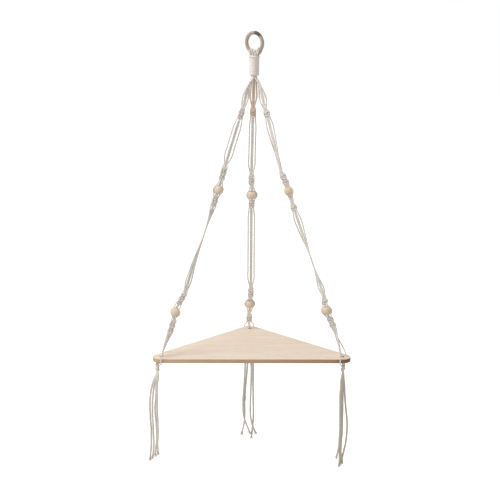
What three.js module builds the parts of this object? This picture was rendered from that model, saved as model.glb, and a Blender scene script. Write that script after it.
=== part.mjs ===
// A hanging corner shelf: a wooden ring, six cotton cords folded over it, a winding that gathers them,
// three knotted straps with two wooden beads each, and a three-cornered board that the straps carry.
// Under each corner of the board the cords are knotted once more, and they end in a tassel of four tails.
// Lengths are in millimetres and +Z is up. The origin is the top of the ring's eye, where a hook holds it.
// +Y points into the corner of the room, so the long edge of the board faces -Y.

import * as THREE from "three";

// Ring
const ringOuterDiameter = 52;
const ringStock = 8;
const ringTurnDegrees = 40;
const ringSteps = 24;
const ringSides = 10;

// Cord
const cordDiameter = 3;
const cordSides = 5;
const bundleGap = 0.35;
const knotGap = 0.3;
const cordToRing = 0.6;
const foldSteps = 8;
const foldStepDegrees = 14.5;
const foldLeanDegrees = 10.75;
const freeStep = 24;

// Winding that gathers the twelve strands under the ring
const windingDrop = 6;
const windingTurns = 12;
const windingGap = 0.5;
const windingToBundle = 0.8;
const windingSides = 6;
const windingStepsPerTurn = 14;
const windingStartDegrees = 130;
const windingFlare = 2.2;
const bundleTwistDegrees = -10;

// Board
const boardLeg = 360;
const boardThickness = 10;
const boardCornerRadius = 20;
const boardCornerSteps = 8;
const boardDrop = 723;
const boardEase = 1;
const cordHoleDiameter = 9;
const cordHoleSteps = 16;
const cordToBoard = 0.4;

// Beads
const beadDiameter = 22;
const beadBore = 9;
const beadSegments = 14;
const beadSteps = 8;
const cordToBead = 0.4;
const beadPassDegrees = [-50, -25, 0, 25, 50];

// Knots under the board, and the tassels that hang from them
const underKnotDrop = 9;
const underKnotHalfKnots = 2;
const tasselDrop = 4.8;
const tasselGap = 0.8;
const tailSides = 6;

const cordRadius = cordDiameter / 2;
const bundlePitch = cordDiameter + bundleGap;
const knotPitch = cordDiameter + knotGap;
const halfKnotHeight = 2 * knotPitch;
const boardTop = -boardDrop;
const boardBottom = boardTop - boardThickness;
const cotton = { color: 0xe9e3d8, roughness: 0.95, metalness: 0 };
const paleWood = { color: 0xe6cfae, roughness: 0.6, metalness: 0 };
const tanWood = { color: 0xb98a5c, roughness: 0.6, metalness: 0 };
const boardWood = { color: 0xddc4a4, roughness: 0.65, metalness: 0 };

const radians = THREE.MathUtils.degToRad;
const vector = (x, y, z) => new THREE.Vector3(x, y, z);
const up = vector(0, 0, 1);
const down = vector(0, 0, -1);
const right = vector(1, 0, 0);

// A level direction, from its angle.
function heading(degrees) {
  return vector(Math.cos(radians(degrees)), Math.sin(radians(degrees)), 0);
}

const shelf = new THREE.Group();

function addMesh(name, geometry, look) {
  const mesh = new THREE.Mesh(geometry, new THREE.MeshStandardMaterial(look));
  mesh.name = name;
  shelf.add(mesh);
  return mesh;
}

// A route of straight runs. A sweep along it has one section at each of its points.
class Route extends THREE.Curve {
  constructor(points) {
    super();
    this.points = points;
  }

  getPointAt(share, target = vector(0, 0, 0)) {
    return target.copy(this.points[Math.round(share * (this.points.length - 1))]);
  }

  getTangentAt(share, target = vector(0, 0, 0)) {
    const last = this.points.length - 1;
    const index = Math.round(share * last);
    const here = this.points[index];
    const before = this.points[Math.max(index - 1, 0)];
    const after = this.points[Math.min(index + 1, last)];
    const into = here.clone().sub(before).normalize();
    const onward = after.clone().sub(here).normalize();
    return target.addVectors(into, onward).normalize();
  }
}

function sweep(points, sides) {
  const corners = [];
  for (let i = 0; i < sides; i += 1) {
    const angle = (2 * Math.PI * i) / sides;
    corners.push(new THREE.Vector2(cordRadius * Math.cos(angle), cordRadius * Math.sin(angle)));
  }
  return new THREE.ExtrudeGeometry(new THREE.Shape(corners), {
    steps: points.length - 1,
    extrudePath: new Route(points),
    bevelEnabled: false,
  });
}

// Ring: its plane is upright and turned about the vertical.

const ringStockRadius = ringStock / 2;
const ringMidRadius = ringOuterDiameter / 2 - ringStockRadius;
const ringCentre = ringStockRadius - ringMidRadius;
const alongRing = heading(-ringTurnDegrees);
const acrossRing = heading(90 - ringTurnDegrees);

// A place given along the ring's plane, across it, and up.
function atRing(along, across, height) {
  return vector(0, 0, height).addScaledVector(alongRing, along).addScaledVector(acrossRing, across);
}

function makeRing() {
  const torus = new THREE.TorusGeometry(ringMidRadius, ringStockRadius, ringSides, ringSteps);
  const ring = addMesh("hanging_ring", torus, tanWood);
  const turn = new THREE.Matrix4().makeBasis(alongRing, up, acrossRing.clone().negate());
  ring.quaternion.setFromRotationMatrix(turn);
  ring.position.set(0, 0, ringCentre);
}

// Folds: each cord passes over the ring's stock from its front to its back, through the eye. They are
// spread along the ring, and their middle lies a little to one side of its lowest point.

const foldRadius = ringStockRadius + cordToRing + cordRadius;

function foldPoints(index) {
  const middle = (legs.length - 1) / 2;
  const angle = radians(foldLeanDegrees + (middle - index) * foldStepDegrees);
  const points = [];
  const outward = atRing(Math.sin(angle), 0, -Math.cos(angle));
  const centre = vector(0, 0, ringCentre).addScaledVector(outward, ringMidRadius);
  for (let i = 0; i <= foldSteps; i += 1) {
    const turn = (Math.PI * i) / foldSteps;
    const point = centre.clone().addScaledVector(acrossRing, -foldRadius * Math.cos(turn));
    points.push(point.addScaledVector(outward, -foldRadius * Math.sin(turn)));
  }
  return points;
}

// Bundle: nine strands round three. Their angles run from the ring's own direction, and the bundle turns a
// little on its way down, so that its three sectors face the corners of the board.

const outerRowRadius = bundlePitch / (2 * Math.sin(radians(20)));
const innerRowShare = 0.564;
const innerRowRadius = bundlePitch * innerRowShare;
const windingPitch = cordDiameter + windingGap;
const windingRadius = outerRowRadius + cordDiameter + windingToBundle;
const windingTop = ringCentre - ringOuterDiameter / 2 - windingDrop;
const windingBottom = windingTop - windingTurns * windingPitch;
const bundleTop = windingTop - cordDiameter;
const bundleBottom = windingBottom - cordRadius;

function bundlePoint(strand, height) {
  const share = (bundleTop - height) / (bundleTop - bundleBottom);
  const angle = radians(strand.angle + bundleTwistDegrees * share);
  const radius = strand.inner ? innerRowRadius : outerRowRadius;
  return atRing(radius * Math.cos(angle), radius * Math.sin(angle), height);
}

// The two legs of each folded cord, in the order of the folds along the ring. A leg joins a strap as one
// of its two workers, which tie the knots, or one of its two fillers, which run straight through them.
// Its points lead from the fold to the bundle: along the ring, across it, and up from the winding's top.
const legs = [
  [
    {
      strap: "right",
      role: "workerPlus",
      angle: 340,
      points: [
        [15.1, -5.8, 13.3],
        [13.4, -4.9, 10],
        [10.9, -3.7, 7.3],
        [8.2, -2.5, 4.9],
        [5.4, -1.5, 2.5],
        [4.5, -1.5, 0.3],
      ],
    },
    {
      strap: "right",
      role: "fillerPlus",
      angle: 20,
      points: [
        [15.1, 5.9, 13.4],
        [13.4, 5, 10.1],
        [10.9, 3.8, 7.4],
        [8.2, 2.6, 5],
        [5.3, 1.6, 2.6],
        [4.7, 1.6, 0.3],
      ],
    },
  ],
  [
    {
      strap: "left",
      role: "workerMinus",
      angle: 300,
      points: [
        [10.2, -6, 10.7],
        [8.4, -5.7, 7.9],
        [6.5, -5.2, 5.3],
        [4.4, -4.5, 2.9],
        [2.9, -4.1, 1],
        [2.7, -4.2, -0.7],
      ],
    },
    {
      strap: "right",
      role: "workerMinus",
      angle: 60,
      points: [
        [9.9, 6, 10.2],
        [7.9, 5.7, 7],
        [5.8, 5.2, 4.1],
        [3.2, 4.2, 1.6],
        [2.7, 4.1, 0.2],
        [2.6, 4.2, -1.2],
      ],
    },
  ],
  [
    {
      strap: "left",
      role: "fillerMinus",
      angle: 280,
      inner: true,
      points: [
        [5.5, -6, 9.3],
        [4.2, -5.5, 7.5],
        [2.9, -4.4, 5.9],
        [1.9, -3.1, 4.4],
        [0.9, -2.1, 2.6],
        [0.5, -1.8, 0.4],
      ],
    },
    {
      strap: "right",
      role: "fillerMinus",
      angle: 40,
      inner: true,
      points: [
        [5.5, 6, 9.3],
        [4.3, 5.5, 7.5],
        [3.3, 4.4, 5.9],
        [2.4, 2.8, 4.6],
        [1.8, 1.6, 2.8],
        [1.6, 1.2, 0.6],
      ],
    },
  ],
  [
    {
      strap: "left",
      role: "fillerPlus",
      angle: 260,
      points: [
        [0.8, -6, 8.3],
        [0.2, -5.9, 6.5],
        [-0.1, -5.7, 4.7],
        [-0.2, -5.3, 2.9],
        [-0.3, -5, 1.2],
        [-0.5, -4.9, -0.6],
      ],
    },
    {
      strap: "back",
      role: "workerPlus",
      angle: 100,
      points: [
        [0.9, 6, 8.3],
        [0.5, 5.8, 6.5],
        [0.3, 5.6, 4.7],
        [0.1, 5.2, 3],
        [-0.3, 4.9, 1.2],
        [-0.6, 4.9, -0.5],
      ],
    },
  ],
  [
    {
      strap: "left",
      role: "workerPlus",
      angle: 220,
      points: [
        [-4, -5.9, 8.5],
        [-3.7, -5.3, 6.7],
        [-3.5, -4.8, 4.9],
        [-3.2, -4.2, 3.1],
        [-3.2, -3.8, 1.3],
        [-3.5, -3.5, -0.5],
      ],
    },
    {
      strap: "back",
      role: "fillerMinus",
      angle: 160,
      inner: true,
      points: [
        [-3.6, 5.9, 8.5],
        [-3, 5.1, 6.7],
        [-2.3, 3.9, 5.2],
        [-1.7, 2.6, 3.7],
        [-1.4, 1.5, 2],
        [-1.6, 0.9, 0.1],
      ],
    },
  ],
  [
    {
      strap: "back",
      role: "workerMinus",
      angle: 180,
      points: [
        [-8.7, -5.9, 9.8],
        [-7.8, -5, 7.7],
        [-6.9, -3.7, 5.8],
        [-5.9, -2.5, 3.9],
        [-4.9, -1.2, 2],
        [-4.9, -0.6, 0],
      ],
    },
    {
      strap: "back",
      role: "fillerPlus",
      angle: 140,
      points: [
        [-8.4, 5.9, 9.8],
        [-7.2, 5.1, 7.5],
        [-6.1, 4.2, 5.4],
        [-4.9, 3.2, 3.2],
        [-4.2, 2.8, 1.2],
        [-4, 3, -0.6],
      ],
    },
  ],
];

// Winding: one cord round the bundle, in even turns. Its first turn is wider, as the strands still fan out
// there. Each end runs on straight for one cord diameter.

function windingPoints() {
  const points = [];
  const count = windingTurns * windingStepsPerTurn;
  for (let i = 0; i <= count; i += 1) {
    const turns = i / windingStepsPerTurn;
    const flare = windingFlare * Math.max(0, 1 - turns);
    const place = heading(windingStartDegrees + 360 * turns).multiplyScalar(windingRadius + flare);
    points.push(place.setZ(windingTop + windingPitch * (1 - turns)));
  }
  const lead = points[0].clone().sub(points[1]).setLength(cordDiameter).add(points[0]);
  const trail = points[count].clone().sub(points[count - 1]).setLength(cordDiameter).add(points[count]);
  return [lead, ...points, trail];
}

// The least gap between turns, measured between points that are at least half a turn apart on the winding.
function leastSelfGap(points) {
  let least = Infinity;
  for (let i = 0; i < points.length; i += 1) {
    for (let j = i + windingStepsPerTurn / 2; j < points.length; j += 1) {
      least = Math.min(least, points[i].distanceTo(points[j]) - cordDiameter);
    }
  }
  return least;
}

function makeWinding() {
  const points = windingPoints();
  console.log(`gathering_wrap: least gap to itself ${leastSelfGap(points).toFixed(2)} mm`);
  addMesh("gathering_wrap", sweep(points, windingSides), cotton);
}

// Board: a right-angled triangle with rounded corners, and a cord hole at the centre of each rounding. The
// middle of the triangle lies under the ring.

const boardDepth = boardLeg / Math.SQRT2;
const boardFront = -boardDepth / 3;
const sideHoleX = boardDepth - boardCornerRadius / Math.tan(radians(22.5));
const sideHoleY = boardFront + boardCornerRadius;
const backHoleY = boardFront + boardDepth - boardCornerRadius * Math.SQRT2;

function makeBoard() {
  const outline = new THREE.Shape();
  outline.absarc(-sideHoleX, sideHoleY, boardCornerRadius, radians(135), radians(270));
  outline.absarc(sideHoleX, sideHoleY, boardCornerRadius, radians(-90), radians(45));
  outline.absarc(0, backHoleY, boardCornerRadius, radians(45), radians(135));
  outline.closePath();
  for (const strap of Object.values(straps)) {
    const hole = new THREE.Path();
    for (let i = 0; i < cordHoleSteps; i += 1) {
      const rim = heading((-360 * i) / cordHoleSteps).multiplyScalar(cordHoleDiameter / 2).add(strap.hole);
      if (i === 0) {
        hole.moveTo(rim.x, rim.y);
      } else {
        hole.lineTo(rim.x, rim.y);
      }
    }
    hole.closePath();
    outline.holes.push(hole);
  }
  const plate = new THREE.ExtrudeGeometry(outline, {
    depth: boardThickness - 2 * boardEase,
    curveSegments: boardCornerSteps,
    bevelThickness: boardEase,
    bevelSize: boardEase,
    bevelOffset: -boardEase,
    bevelSegments: 1,
  });
  addMesh("shelf_board", plate, boardWood).position.z = boardBottom + boardEase;
}

// Straps. Places along a strap are shares of its length, from the winding to its hole. A station is a run
// of half-knots, from its start, or a bead, at its centre. A neck is where the workers draw in beside a
// run. The sway table says how far the strap lies to the right of its straight line, in knot pitches, and
// the turn table how many degrees it is turned about itself. The spread is the workers' distance from the
// middle, in knot pitches, on the free stretch after a run. Each worker passes the board's edge at its own
// angle from the hole, moved along the edge by its own slide. The last knot lies beside the hole by its own
// shares of the pitch.

const straps = {
  left: {
    hole: vector(-sideHoleX, sideHoleY, 0),
    frontSide: 1,
    swayShares: [
      [0, 0],
      [0.11, 0.1],
      [0.15, 0.3],
      [0.31, 0.9],
      [0.378, 1.5],
      [0.414, 1.5],
      [0.46, 1.75],
      [0.56, 1.8],
      [0.65, 1.2],
      [0.765, 1.9],
      [0.819, -0.4],
      [0.855, -0.4],
      [0.867, 0.35],
      [0.92, 0.45],
      [0.98, 0.1],
      [1, 0],
    ],
    turnShares: [
      [0, 0],
      [0.1, 90],
      [0.455, 90],
      [0.5, 25],
      [0.57, 22],
      [0.66, 50],
      [0.765, 90],
      [0.93, 90],
      [1, 0],
    ],
    stations: [
      { halfKnots: 3, startShare: 0.115, neckAbove: true, spreadShare: 2.7 },
      { halfKnots: 4, startShare: 0.316, neckAbove: true, neckBelow: true },
      { bead: "upper", centreShare: 0.396, turnDegrees: -6 },
      { halfKnots: 4, startShare: 0.415, spreadShare: 2.2 },
      { halfKnots: 4, startShare: 0.769, neckAbove: true },
      { bead: "lower", centreShare: 0.837, turnDegrees: 48 },
      { halfKnots: 5, startShare: 0.867, neckAbove: true },
    ],
    plusEdgeDegrees: 135,
    minusEdgeDegrees: 270,
    plusEdgeSlide: -25,
    minusEdgeSlide: 0,
    underKnotShares: [-2.8, -0.64],
    underKnotDegrees: 112.5,
  },
  right: {
    hole: vector(sideHoleX, sideHoleY, 0),
    frontSide: -1,
    swayShares: [
      [0, 0],
      [0.108, -0.1],
      [0.137, -0.15],
      [0.333, -2.6],
      [0.379, -1.3],
      [0.415, -1.3],
      [0.445, -1.5],
      [0.475, -1.5],
      [0.784, 0.4],
      [0.811, -0.8],
      [0.848, -0.8],
      [0.854, -0.45],
      [0.895, 0.55],
      [1, 0],
    ],
    turnShares: [
      [0, 0],
      [0.1, -90],
      [0.17, -90],
      [0.29, -25],
      [0.333, -90],
      [0.5, -90],
      [0.62, -18],
      [0.69, -18],
      [0.775, -90],
      [0.92, -90],
      [1, 0],
    ],
    stations: [
      { halfKnots: 2, startShare: 0.117, neckAbove: true, spreadShare: 2.3 },
      { halfKnots: 4, startShare: 0.338, neckAbove: true },
      { bead: "upper", centreShare: 0.399, turnDegrees: 25 },
      { halfKnots: 2, startShare: 0.449, neckAbove: true, spreadShare: 2.4 },
      { halfKnots: 2, startShare: 0.788, neckAbove: true },
      { bead: "lower", centreShare: 0.831, turnDegrees: 0 },
      { halfKnots: 4, startShare: 0.854 },
    ],
    plusEdgeDegrees: -90,
    minusEdgeDegrees: 45,
    plusEdgeSlide: -6,
    minusEdgeSlide: 8,
    underKnotShares: [0.97, -0.36],
    underKnotDegrees: -112.5,
  },
  back: {
    hole: vector(0, backHoleY, 0),
    frontSide: -1,
    swayShares: [
      [0, 0],
      [0.115, -0.25],
      [0.15, -0.3],
      [0.365, -0.6],
      [0.402, -0.55],
      [0.426, -0.05],
      [0.462, -0.05],
      [0.5, -0.3],
      [0.825, 0.35],
      [0.865, 0.3],
      [0.876, -0.25],
      [0.912, -0.25],
      [0.935, -0.45],
      [0.972, -0.5],
      [1, 0],
    ],
    turnShares: [
      [0, 0],
      [1, 0],
    ],
    stations: [
      { halfKnots: 3, startShare: 0.117, neckAbove: true, spreadShare: 2.2 },
      { halfKnots: 3, startShare: 0.371, neckAbove: true, neckBelow: true },
      { bead: "upper", centreShare: 0.446, turnDegrees: 0 },
      { halfKnots: 3, startShare: 0.467, spreadShare: 2.2 },
      { halfKnots: 3, startShare: 0.83, neckAbove: true, neckBelow: true },
      { bead: "lower", centreShare: 0.894, turnDegrees: 0 },
      { halfKnots: 3, startShare: 0.941, neckAbove: true },
    ],
    plusEdgeDegrees: 62,
    minusEdgeDegrees: 126,
    plusEdgeSlide: 0,
    minusEdgeSlide: 0,
    underKnotShares: [-0.91, 0],
    underKnotDegrees: 0,
  },
};

// The straight line of each strap, from the middle of its four strands to its hole. Its level direction
// turned a quarter gives the direction across it, and the third direction faces the room's axis.
for (const [name, strap] of Object.entries(straps)) {
  const strands = legs.flat().filter((leg) => leg.strap === name);
  strap.foot = vector(0, 0, 0);
  for (const strand of strands) {
    strap.foot.addScaledVector(bundlePoint(strand, bundleBottom), 1 / strands.length);
  }
  const line = strap.hole.clone().setZ(boardTop).sub(strap.foot);
  strap.length = line.length();
  strap.along = line.clone().normalize();
  strap.side = vector(line.y, -line.x, 0).normalize();
  strap.face = strap.along.clone().cross(strap.side);
}

function readTable(table, share) {
  const next = table.findIndex(([end]) => share <= end);
  if (next < 1) {
    return table.at(next)[1];
  }
  const [start, from] = table[next - 1];
  const [end, to] = table[next];
  return THREE.MathUtils.mapLinear(share, start, end, from, to);
}

// A place on a strap: how far down it, how far across its row of cords, and how far out of that row.
function strapPoint(strap, distance, across, out) {
  const share = distance / strap.length;
  const turn = radians(readTable(strap.turnShares, share));
  const sway = knotPitch * readTable(strap.swayShares, share);
  const sideways = across * Math.cos(turn) - out * Math.sin(turn);
  const facing = across * Math.sin(turn) + out * Math.cos(turn);
  return strap.foot
    .clone()
    .addScaledVector(strap.along, distance)
    .addScaledVector(right, sway)
    .addScaledVector(strap.side, sideways)
    .addScaledVector(strap.face, facing);
}

// One half-knot, as the front worker goes: places across, out and down, in knot pitches. It starts on the
// minus side, crosses in front of the fillers, and leaves behind the other worker. That one does the
// same, turned half round about the strap, and the next half-knot mirrors this one.
const halfKnotShares = [
  [-2.46, -0.69, 0.45],
  [-2.04, -0.3, 1.58],
  [-0.86, 0.96, 1.49],
  [0.94, 0.98, 0.84],
  [1.72, -0.23, 0.44],
  [2.39, -0.78, 1.05],
];
const exitShares = [2.35, -0.6, 0.05];
const neckSpreadShare = 1.5;
const neckDropShare = 1.6;
const freeSpreadShare = 2.2;
const startSpreadShares = [1.4, 1.6];
const startFillerShares = [0.4, 0.5];
const startDrop = 12;
const fillerPlace = knotPitch / 2;

// Follows the four cords of one strap from the bundle to the tassel, and returns the points of each.
function knotStrap(strap) {
  const front = [];
  const back = [];
  const fillerPlus = [];
  const fillerMinus = [];
  let side = strap.frontSide;

  function addFillers(place, distance) {
    fillerPlus.push(place(distance, fillerPlace, 0));
    fillerMinus.push(place(distance, -fillerPlace, 0));
  }

  function addWorkers(place, distance, across, out) {
    front.push(place(distance, side * across, side * out));
    back.push(place(distance, -side * across, -side * out));
  }

  function tie(place, start, halfKnots) {
    addFillers(place, start);
    for (let i = 0; i < halfKnots; i += 1) {
      const top = start + i * halfKnotHeight;
      for (const [across, out, drop] of halfKnotShares) {
        const distance = top + drop * knotPitch;
        front.push(place(distance, -side * across * knotPitch, out * knotPitch));
        back.push(place(distance, side * across * knotPitch, -out * knotPitch));
      }
      side = -side;
    }
    const end = start + halfKnots * halfKnotHeight;
    const [across, out, drop] = exitShares;
    front.push(place(end + drop * knotPitch, side * across * knotPitch, out * knotPitch));
    back.push(place(end + drop * knotPitch, -side * across * knotPitch, -out * knotPitch));
    addFillers(place, end);
  }

  const onStrap = (distance, across, out) => strapPoint(strap, distance, across, out);

  function runFree(from, to, spread) {
    const count = Math.ceil((to - from) / freeStep);
    for (let i = 1; i < count; i += 1) {
      const distance = from + ((to - from) * i) / count;
      addFillers(onStrap, distance);
      addWorkers(onStrap, distance, spread, 0);
    }
  }

  startSpreadShares.forEach((share, index) => {
    const distance = startDrop * (index + 1);
    const fillerAcross = startFillerShares[index] * knotPitch;
    const fillerOut = index === 0 ? fillerAcross : 0;
    addWorkers(onStrap, distance, share * knotPitch, 0);
    fillerPlus.push(onStrap(distance, fillerAcross, -fillerOut));
    fillerMinus.push(onStrap(distance, -fillerAcross, fillerOut));
  });

  let reached = startDrop * startSpreadShares.length;
  let spread = freeSpreadShare * knotPitch;
  for (const station of strap.stations) {
    if (station.bead) {
      const centre = station.centreShare * strap.length;
      for (const degrees of beadPassDegrees) {
        const distance = centre + beadPassRadius * Math.sin(radians(degrees));
        const away = beadPassRadius * Math.cos(radians(degrees));
        const turn = radians(station.turnDegrees);
        addWorkers(onStrap, distance, away * Math.cos(turn), away * Math.sin(turn));
      }
      addFillers(onStrap, centre - beadDiameter / 2);
      addFillers(onStrap, centre + beadDiameter / 2);
      reached = centre + beadDiameter / 2;
      continue;
    }
    const start = station.startShare * strap.length;
    const neckTop = start - neckDropShare * knotPitch;
    runFree(reached, neckTop, spread);
    if (station.neckAbove) {
      addWorkers(onStrap, neckTop, neckSpreadShare * knotPitch, 0);
    }
    tie(onStrap, start, station.halfKnots);
    reached = start + station.halfKnots * halfKnotHeight;
    if (station.neckBelow) {
      addWorkers(onStrap, reached + neckDropShare * knotPitch, neckSpreadShare * knotPitch, 0);
    }
    spread = (station.spreadShare ?? freeSpreadShare) * knotPitch;
  }

  // To the board: the fillers go down through the hole, and the workers past its two edges.
  const fanSteps = Math.ceil((strap.length - reached) / (freeStep / 2));
  for (let i = 1; i < fanSteps; i += 1) {
    addFillers(onStrap, reached + ((strap.length - reached) * i) / fanSteps);
  }
  for (const [list, sign] of [[fillerPlus, 1], [fillerMinus, -1]]) {
    const inHole = strap.hole.clone().addScaledVector(strap.side, sign * fillerPlace);
    list.push(inHole.clone().setZ(boardTop), inHole.clone().setZ(boardBottom - cordDiameter));
  }
  for (const [list, sign] of [[front, side], [back, -side]]) {
    const edgeDegrees = sign > 0 ? strap.plusEdgeDegrees : strap.minusEdgeDegrees;
    const edge = heading(edgeDegrees);
    const pass = strap.hole.clone().addScaledVector(edge, edgePassRadius);
    pass.addScaledVector(heading(edgeDegrees + 90), sign > 0 ? strap.plusEdgeSlide : strap.minusEdgeSlide);
    const under = pass.clone().addScaledVector(edge, -cordDiameter);
    list.push(pass.clone().setZ(boardTop + cordRadius));
    list.push(pass.clone().setZ(boardBottom - boardEase));
    list.push(under.setZ(boardBottom - cordToBoard - cordDiameter));
  }

  // Under the board: the last knot hangs upright, and below it the four cords lie in a row.
  const across = heading(strap.underKnotDegrees);
  const out = down.clone().cross(across);
  const [aside, ahead] = strap.underKnotShares;
  const beside = vector(aside, ahead, 0).multiplyScalar(knotPitch);
  const top = strap.hole.clone().add(beside).setZ(boardBottom - underKnotDrop);
  const underBoard = (distance, acrossBy, outBy) =>
    top
      .clone()
      .addScaledVector(down, distance)
      .addScaledVector(across, acrossBy)
      .addScaledVector(out, outBy);
  tie(underBoard, 0, underKnotHalfKnots);
  const knotEnd = underKnotHalfKnots * halfKnotHeight;
  for (const distance of [knotEnd + tasselDrop / 2, knotEnd + tasselDrop]) {
    addFillers(underBoard, distance);
    addWorkers(underBoard, distance, 3 * fillerPlace, 0);
  }
  const rowDistance = knotEnd + tasselDrop + tasselGap;
  strap.row = [-3, -1, 1, 3].map((place) => underBoard(rowDistance, place * fillerPlace, 0));
  strap.rowCentre = underBoard(rowDistance, 0, 0);
  const [workerMinus, workerPlus] = strap.frontSide < 0 ? [front, back] : [back, front];
  return { workerMinus, workerPlus, fillerPlus, fillerMinus };
}

const beadPassRadius = beadDiameter / 2 + cordToBead + cordRadius;
const edgePassRadius = boardCornerRadius + cordToBoard + cordRadius;

function makeCords() {
  const routes = {};
  for (const [name, strap] of Object.entries(straps)) {
    routes[name] = knotStrap(strap);
  }
  const strandPoints = (leg) => [
    ...leg.points.map(([along, across, rise]) => atRing(along, across, windingTop + rise)),
    bundlePoint(leg, bundleTop),
    bundlePoint(leg, bundleBottom),
    ...routes[leg.strap][leg.role],
  ];
  legs.forEach(([frontLeg, backLeg], index) => {
    const points = [...strandPoints(frontLeg).reverse(), ...foldPoints(index), ...strandPoints(backLeg)];
    addMesh(`cord_${index + 1}`, sweep(points, cordSides), cotton);
  });
}

// Beads: turned balls with a bore, threaded on the fillers.

function makeBeads() {
  const rimAngle = Math.asin(beadBore / beadDiameter);
  const rimHeight = (beadDiameter / 2) * Math.cos(rimAngle);
  const profile = [];
  for (let i = 0; i <= beadSteps; i += 1) {
    const angle = THREE.MathUtils.lerp(rimAngle, Math.PI - rimAngle, i / beadSteps);
    profile.push(new THREE.Vector2(Math.sin(angle), -Math.cos(angle)).multiplyScalar(beadDiameter / 2));
  }
  profile.push(new THREE.Vector2(beadBore / 2, -rimHeight));
  for (const [name, strap] of Object.entries(straps)) {
    for (const station of strap.stations.filter((each) => each.bead)) {
      const bead = addMesh(
        `bead_${name}_${station.bead}`,
        new THREE.LatheGeometry(profile, beadSegments),
        paleWood,
      );
      bead.position.copy(strapPoint(strap, station.centreShare * strap.length, 0, 0));
      bead.quaternion.setFromUnitVectors(vector(0, 1, 0), strap.along);
    }
  }
}

// Tassels: four tails under each corner, where the four cords of a strap run out. Each tail's points are
// chosen from the middle of the row that it hangs from.

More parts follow.
